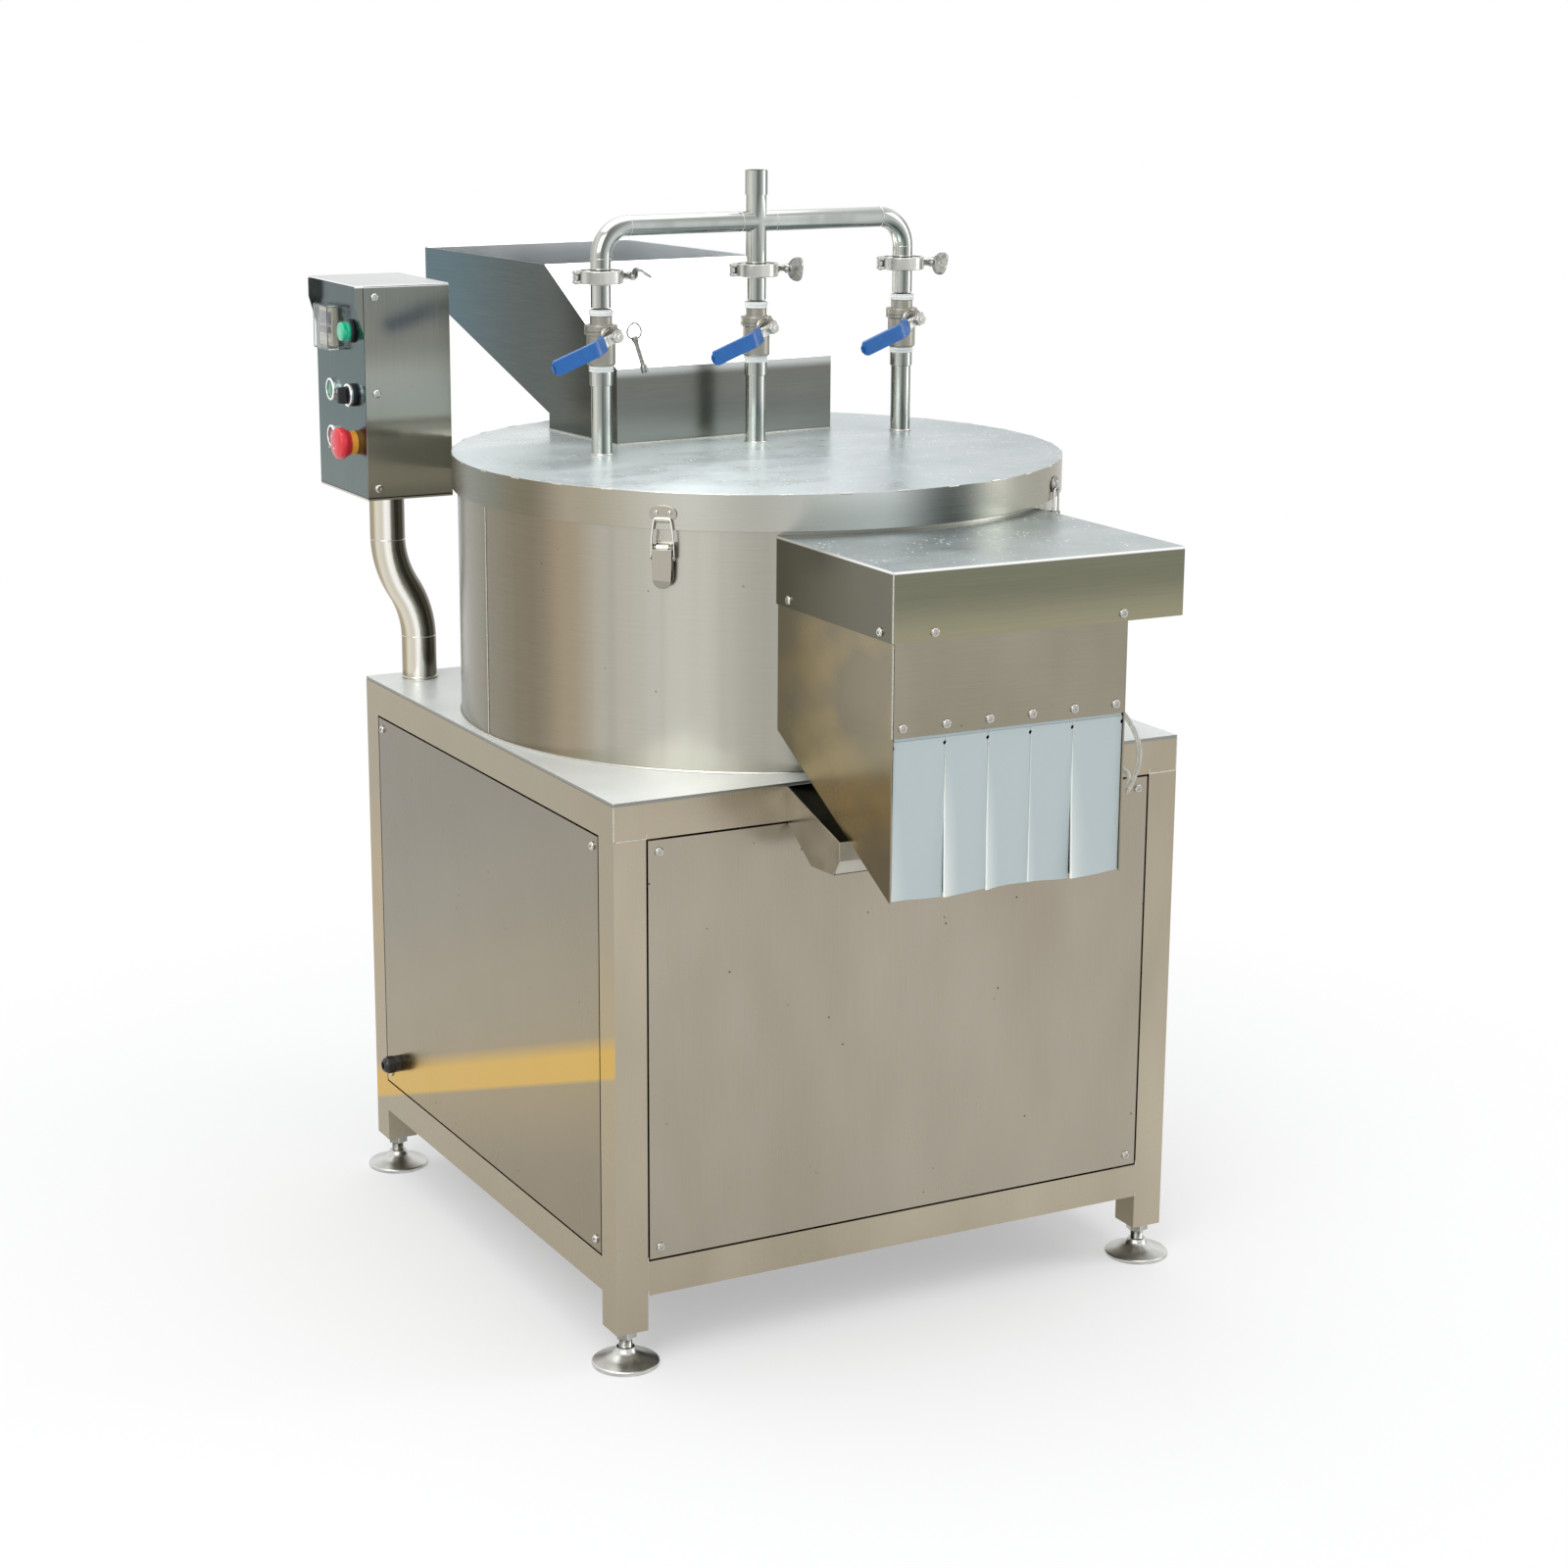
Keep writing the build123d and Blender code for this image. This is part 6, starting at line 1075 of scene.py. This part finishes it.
def push_button(node, row, cap_finish):
    """Flush button in a chromed bezel."""
    where = on_panel(COLUMN_FAR, row)
    bezel = lathe(node + "_bezel", [(11.3, 0), (14.75, 0), (14.75, 4.6), (14.2, 5.6), (13, 6), (11.9, 6), (11.3, 5.4),
                                    (11.3, 0)], 48)
    place(bezel, where, "panel_fittings", CHROME, 0.2)
    cap = lathe(node + "_cap", [(0, -4), (11, -4), (11, 3.2), (10.6, 4.2), (9.6, 4.6), (9, 4.2), (8.4, 4.1), (4, 4.6),
                                (0, 4.75)], 48)
    place(cap, where, node, cap_finish, 0.15)


def selector():
    """Three-position selector: black barrel, chromed ring and a black lever handle."""
    where = on_panel(COLUMN_NEAR, ROW_MID)
    barrel = lathe("selector_barrel", ring(11.3, 14.4, 0, 5.2, 0.4), 48)
    place(barrel, where, "panel_fittings", BLACK_NYLON, 0.2)
    bezel = lathe("selector_bezel", [(11.3, 5.2), (14.75, 5.2), (14.75, 8), (14.1, 9), (12.2, 9), (11.3, 8.4),
                                     (11.3, 5.2)], 48)
    place(bezel, where, "panel_fittings", CHROME, 0.2)
    disc = lathe("selector_disc", [(0, -4), (11, -4), (11, 8.6), (10.2, 9.4), (0, 9.4)], 48)
    place(disc, where, "selector_knob", BLACK_NYLON, 0.2)
    grip = slab("selector_grip", [(11, -4, 9.2), (9.4, -4, 21.6), (-9.4, -4, 21.6), (-11, -4, 9.2)], (0, 8, 0))
    place(grip, where, "selector_knob", BLACK_NYLON, 1.4)
    mark = slab("selector_mark", [(3, -0.5, 21.5), (8, -0.5, 21.5), (8, 0.5, 21.5), (3, 0.5, 21.5)], (0, 0, 0.3))
    place(mark, where, "selector_knob", PTFE, 0.1)


def emergency_stop():
    """Mushroom head with a waisted stem on a yellow collar."""
    where = on_panel(COLUMN_NEAR, ROW_LOW)
    collar = lathe("emergency_collar", [(8.4, 0), (15, 0), (15, 11.2), (14.2, 12), (9.2, 12), (8.4, 11.2), (8.4, 0)], 48)
    place(collar, where, "panel_fittings", COLLAR_YELLOW, 0.2)
    head = lathe("emergency_head", [(0, -4), (8, -4), (8, 18.5), (15.3, 18.5), (15.3, 8.6), (16.2, 8.6), (16.8, 11),
                                    (18.8, 14.4), (19.8, 16), (20, 18), (20, 21.6), (19.2, 24), (16.8, 26),
                                    (12.5, 27.2), (7, 27.7), (0, 27.8)], 64)
    place(head, where, "emergency_stop", STOP_RED, 0.3)
    dent = [(a, b, 31.05) for a, b in ((10.6, -1.4), (13.2, 0), (10.6, 1.4))]
    for k in range(3):
        arrow = slab("emergency_arrow_%d" % (k + 1), dent, (0, 0, 0.25))
        turn = Matrix.Rotation(math.tau * k / 3, 4, "Z") @ Matrix.Translation((-1.8, 0, -0.35))
        place(arrow, where @ turn, "emergency_stop", PTFE, 0)


def pilot_lamp():
    """Ribbed green lens in a black bezel."""
    where = on_panel(COLUMN_NEAR, ROW_TOP)
    bezel = lathe("lamp_bezel", ring(11, 14.75, 0, 5, 0.7), 48)
    place(bezel, where, "panel_fittings", BLACK_NYLON, 0.2)
    lens = lathe("lamp_lens", [(0, -4), (10.9, -4), (10.9, 5), (12, 5), (12, 8.2), (11.6, 8.6), (12, 9), (12, 14),
                               (11.2, 15.6), (9.8, 16), (9.2, 15.4), (8.6, 15.4), (8.2, 16), (0, 16)], 48)
    place(lens, where, "panel_fittings", LAMP_GREEN, 0.25)


def timer():
    """Cream timer with two dark windows and keys, under a clear cover hinged at its top."""
    where = on_panel(COLUMN_FAR, ROW_TOP)
    body = slab("timer_body", [(a, b, 0) for a, b in ((24, -22), (24, 22), (-24, 22), (-24, -22))], (0, 0, 8))
    place(body, where, "timer", TIMER_ABS, 1.6)
    for label, low, high in (("display", 3, 19), ("setting", -8, 0.5)):
        window = slab("timer_" + label, [(a, b, 7.6) for a, b in ((high, -18), (high, 18), (low, 18), (low, -18))],
                      (0, 0, 1.1))
        place(window, where, "timer", TIMER_GLASS, 0.35)
    for k in range(4):
        key = slab("timer_key_%d" % (k + 1),
                   [(-16.5 + a, -13.5 + 9 * k + b, 7.8) for a, b in oval(3.2, 3.2, 16, 3.0)], (0, 0, 1.1))
        place(key, where, "timer", KEY_ABS, 0.4)
    wall = 1.6
    cover = slab("timer_cover_shell", [(a, b, 0.4) for a, b in ((28, -25), (28, 25), (-28, 25), (-28, -25))],
                 (0, 0, 15.4))
    bpy.ops.object.mode_set(mode="EDIT")
    bpy.ops.mesh.select_all(action="DESELECT")
    bpy.ops.object.mode_set(mode="OBJECT")
    for face in cover.data.polygons:
        face.select = face.normal.z < -0.9
    bpy.ops.object.mode_set(mode="EDIT")
    bpy.ops.mesh.inset(thickness=wall, depth=0)
    bpy.ops.mesh.extrude_region_move(TRANSFORM_OT_translate={"value": (0, 0, 15.4 - wall)})
    close_up()
    place(cover, where, "timer_cover", CLEAR_PC, 0.5)
    tab = slab("timer_cover_tab", [(-28, b, a) for a, b in ((6, -4), (6, 4), (11, 4), (11, -4))], (-1.8, 0, 0))
    place(tab, where, "timer_cover", CLEAR_PC, 0.4)


push_button("start_button", ROW_MID, GREEN_CAP)
push_button("stop_button", ROW_LOW, RED_CAP)
selector()
emergency_stop()
pilot_lamp()
timer()

# ------------------------------------------------------------------ curtain


def curtain_flap(number, left, right, lead):
    """Strip of thick soft PVC, set in its hang: its left edge stands forward towards the bottom, and it curls."""
    node = "curtain_flap_%d" % number
    low, high = TOP - 88, TOP + 90.6
    bpy.ops.object.select_all(action="DESELECT")
    bpy.ops.mesh.primitive_grid_add(x_subdivisions=18, y_subdivisions=20, size=1)
    flap = bpy.context.object
    flap.name = node + "_strip"
    bpy.ops.object.mode_set(mode="EDIT")
    wide, tall_by = right - left - 0.8, high - low
    bpy.ops.transform.resize(value=(wide, tall_by, 1), center_override=(0, 0, 0))
    bpy.ops.object.mode_set(mode="OBJECT")
    for vertex in flap.data.vertices:
        u = vertex.co.x / wide + 0.5
        v = 0.5 - vertex.co.y / tall_by
        hang = max(v, 0)
        curl = lead * math.exp(-u * wide / 13)
        forward = hang * (curl + 0.7 * math.cos(4.5 * u + number)) + 0.2 * math.sin(5 * v + 1.7 * number)
        x = left + 0.4 + wide * u - hang * 0.12 * curl
        z = high - tall_by * v + hang * 1.5 * math.sin(3 * u + 2 * number)
        vertex.co = (x, -596 - max(forward, -0.5), z)
    wall = flap.modifiers.new("wall", "SOLIDIFY")
    wall.thickness = 2.8
    wall.offset = 0
    keep_modifiers(flap)
    only(flap)
    bpy.ops.object.mode_set(mode="EDIT")
    close_up()
    for edge in (left, right):
        drill = lathe(node + "_drill", rod(2.5, -12, 12, 0.1), 16)
        settle(drill, Matrix.Translation((edge, -596, TOP + 84)) @ TO_FRONT)
        cut = flap.modifiers.new("slit_end", "BOOLEAN")
        cut.object = drill
        cut.solver = "EXACT"
        keep_modifiers(flap)
        bpy.data.objects.remove(drill)
    place(flap, machine(), node, CURTAIN_PVC, 0.5, 50)


for k, (left, right, lead) in enumerate(((-148.4, -82.5, 2.4), (-82.5, -27.5, 6.2), (-27.5, 27.5, 5.4), (27.5, 82.5, 3.4),
                                         (82.5, 148.4, 6.2))):
    curtain_flap(k + 1, left, right, lead)

# ------------------------------------------------------------------ air fittings


def push_in(name, matrix, node):
    """Release ring of a push-in fitting, round the hose."""
    collar = lathe(name, ring(3.1, 5.2, 0, 2.2, 0.5), 28)
    place(collar, matrix, node, BLUE_RING, 0.15, replaces=False)


for label, z in (("upper", 92), ("lower", 72)):
    push_in("cylinder_%s_release" % label, machine(190, -446, TOP + z) @ TO_FRONT, "air_cylinder")
for label, x in (("left", 250), ("right", 275)):
    push_in("bulkhead_%s_release" % label, machine(x, -396.5, TOP - 22) @ TO_FRONT, "air_cylinder")

# ------------------------------------------------------------------ welds


def bead(name, node, points, radius=1.3, matrix=None):
    """Line of weld metal, half sunk in the joint."""
    line = wire(name, points, radius, 2)
    place(line, matrix or machine(), node, WELD_STEEL, 0, replaces=False)


def ring_bead(name, node, radius, z, thick, matrix, count=12):
    """Weld all round a tube or drum."""
    circle = [(radius * math.cos(math.tau * k / count), radius * math.sin(math.tau * k / count), z)
              for k in range(count)]
    place(wire(name, circle, thick, 2, closed=True), matrix, node, WELD_STEEL, 0, replaces=False)


def circle_of(radius):
    """Radius of the control ring whose smooth line of 48 points keeps to a radius."""
    return radius / (0.75 + 0.25 * math.cos(math.tau / 48))


inner_w, inner_d = HALF_W - POST, HALF_D - POST
for side_x in (-1, 1):
    for side_y in (-1, 1):
        corner = (side_x * (HALF_W - 1), side_y * (HALF_D - 1), 675.6)
        inner = (side_x * inner_w, side_y * inner_d, 675.6)
        name = "mitre_bead_%s_%s" % ("left" if side_x < 0 else "right", "front" if side_y < 0 else "rear")
        bead(name, "cabinet_frame", [corner, inner], 1.1)
        arris = (side_x * (HALF_W - 0.7), side_y * (HALF_D - 0.7))
        bead(name + "_arris", "cabinet_frame", [(*arris, 676), (*arris, 655), (*arris, 636)], 1.1)
        bead(name + "_across", "cabinet_frame",
             [(side_x * (HALF_W - 2), side_y * HALF_D, 635.6), (side_x * (HALF_W - POST), side_y * HALF_D, 635.6)], 1.0)
        for label, z in (("upper", 635.2), ("lower", 129.8), ("foot", 88.2)):
            bead("%s_%s_front" % (name, label), "cabinet_frame",
                 [(side_x * (HALF_W - POST), side_y * HALF_D, z - 0.3), (side_x * (HALF_W - POST), side_y * HALF_D, z + 6)],
                 0.9)
ring_bead("drum_base_bead", "drum_shell", circle_of(DRUM_R + 0.6), TOP + 0.8, 1.6, machine(), 48)
bead("drum_seam", "drum_shell", [(-DRUM_R - 0.1, -13, TOP + 3), (-DRUM_R - 0.1, -13, TOP + 160), (-DRUM_R - 0.1, -13, TOP + 279)], 0.7)
for k, x in enumerate(PIPES):
    ring_bead("pipe_foot_bead_%d" % (k + 1), "spray_pipework", 13.6, 0.9, 1.3, on_lid(x, PIPE_Y, 0))
    for label, z in (("lower", FERRULE_Z - 9.5), ("upper", FERRULE_Z + 9.5)):
        ring_bead("ferrule_%s_bead_%d" % (label, k + 1), "spray_pipework", 13.1, z, 0.6, on_lid(x, PIPE_Y, 0))
for name, x, z in (("left", PIPES[0], 236.5), ("right", PIPES[2], 236.5)):
    ring_bead("elbow_bead_" + name, "spray_pipework", 12.9, z, 0.6, on_lid(x, PIPE_Y, 0))
to_right = Matrix.Rotation(math.radians(90), 4, "Y")
for name, x in (("left_elbow", PIPES[0] + 38), ("tee_left", PIPES[1] - 25), ("tee_right", PIPES[1] + 25),
                ("right_elbow", PIPES[2] - 38)):
    ring_bead("header_bead_" + name, "spray_pipework", 12.9, 0, 0.6, on_lid(x, PIPE_Y, 274.5) @ to_right)
for name, z in (("lower", 57), ("upper", 187)):
    x = STAND[0] if z == 57 else STAND_TOP_X
    ring_bead("stand_bead_" + name, "box_stand", 22.7, TOP + z, 0.9, machine(x, STAND[1]))
ring_bead("stand_foot_bead", "box_stand", 23.2, TOP + 2.9, 1.5, machine(STAND[0], STAND[1]))
hopper_x = (27 - 160.5, 27 + 160.5)
bead("hopper_front_bead", "hopper", [(hopper_x[0], 114.6, 0.6), (27, 114.6, 0.6), (hopper_x[1], 114.6, 0.6)], 1.3,
     on_lid(0, 0, 0))
for label, x in (("left", hopper_x[0] - 0.3), ("right", hopper_x[1] + 0.3)):
    bead("hopper_%s_bead" % label, "hopper", [(x, 115, 0.6), (x, 200, 0.6), (x, 290, 0.6)], 1.3, on_lid(0, 0, 0))
TACKS = 34
for k in range(TACKS):
    angle = math.tau * (k + 0.35) / TACKS
    reach = [((LID_R - 0.4) * math.cos(angle + step), (LID_R - 0.4) * math.sin(angle + step), LID - 0.7)
             for step in (-0.02, 0, 0.02)]
    bead("lid_tack_%d" % (k + 1), "lid", reach, 1.0)
bead("cover_corner_bead", "chute_cover", [(-152.4, -601.3, TOP + 200), (-152.4, -601.3, TOP + 238), (-152.4, -601.3, TOP + 276)],
     0.8)
bead("chute_corner_bead", "chute_body", [(-CHUTE_HALF + 0.1, -CHUTE_FRONT + 0.1, TOP + 95), (-CHUTE_HALF + 0.1, -CHUTE_FRONT + 0.1, TOP + 198)],
     0.8)

# ------------------------------------------------------------------ light and floor


def make_stage():
    """Pale floor that carries the shadow, and a world that looks white and lights softly."""
    bpy.ops.object.select_all(action="DESELECT")
    bpy.ops.mesh.primitive_plane_add(size=16)
    floor = bpy.context.object
    floor.name = "studio_floor"
    made, tree, shader = blank("pale_studio_floor")
    shader.inputs["Base Color"].default_value = linear("#F2F2F0")
    shader.inputs["Roughness"].default_value = 0.9
    shader.inputs["Specular IOR Level"].default_value = 0.1
    path = put(tree, "LightPath")
    seen = math_of(tree, "MAXIMUM", path.outputs["Is Camera Ray"],
                   math_of(tree, "MAXIMUM", path.outputs["Is Glossy Ray"], path.outputs["Is Transmission Ray"]))
    where = put(tree, "TexCoord").outputs["Object"]
    far = put(tree, "VectorMath", {0: where}, operation="LENGTH").outputs["Value"]
    fade = math_of(tree, "MULTIPLY", ramp(tree, far, 0.45, 1.5, 0.42, 1.0), seen)
    white = put(tree, "Emission", {"Color": linear("#FFFFFF"), "Strength": 1.0})
    shown = put(tree, "MixShader", {0: fade, 1: shader.outputs[0], 2: white.outputs[0]})
    tree.links.new(shown.outputs[0], tree.nodes["Material Output"].inputs["Surface"])
    floor.data.materials.append(made)
    world = bpy.data.worlds.new("studio")
    bpy.context.scene.world = world
    world.use_nodes = True
    sky = world.node_tree
    sky.nodes.clear()
    path = put(sky, "LightPath")
    seen = math_of(sky, "MAXIMUM", path.outputs["Is Camera Ray"],
                   math_of(sky, "MAXIMUM", path.outputs["Is Glossy Ray"], path.outputs["Is Transmission Ray"]))
    lit = put(sky, "Background", {"Color": linear("#DDE3EA"), "Strength": 0.6})
    white = put(sky, "Background", {"Color": linear("#FFFFFF"), "Strength": 1.0})
    shown = put(sky, "MixShader", {0: seen, 1: lit.outputs[0], 2: white.outputs[0]})
    output = put(sky, "OutputWorld")
    sky.links.new(shown.outputs[0], output.inputs["Surface"])


def soft_box(name, at, aim, size, power):
    """One rectangular area lamp."""
    lamp = bpy.data.lights.new(name, "AREA")
    lamp.shape = "RECTANGLE"
    lamp.size, lamp.size_y = size
    lamp.energy = power
    holder = bpy.data.objects.new(name, lamp)
    bpy.context.collection.objects.link(holder)
    holder.location = at
    holder.rotation_euler = (Vector(aim) - Vector(at)).to_track_quat("-Z", "Y").to_euler()


make_stage()
soft_box("key", (-3.2, -2.6, 3.4), (0, 0, 0.8), (3.0, 3.0), 110)
soft_box("side", (3.4, -1.6, 2.0), (0, 0, 0.8), (1.2, 3.0), 35)
soft_box("top", (0, 0.4, 4.2), (0, 0, 0.9), (4.0, 4.0), 90)
bpy.context.scene.view_settings.view_transform = "Standard"
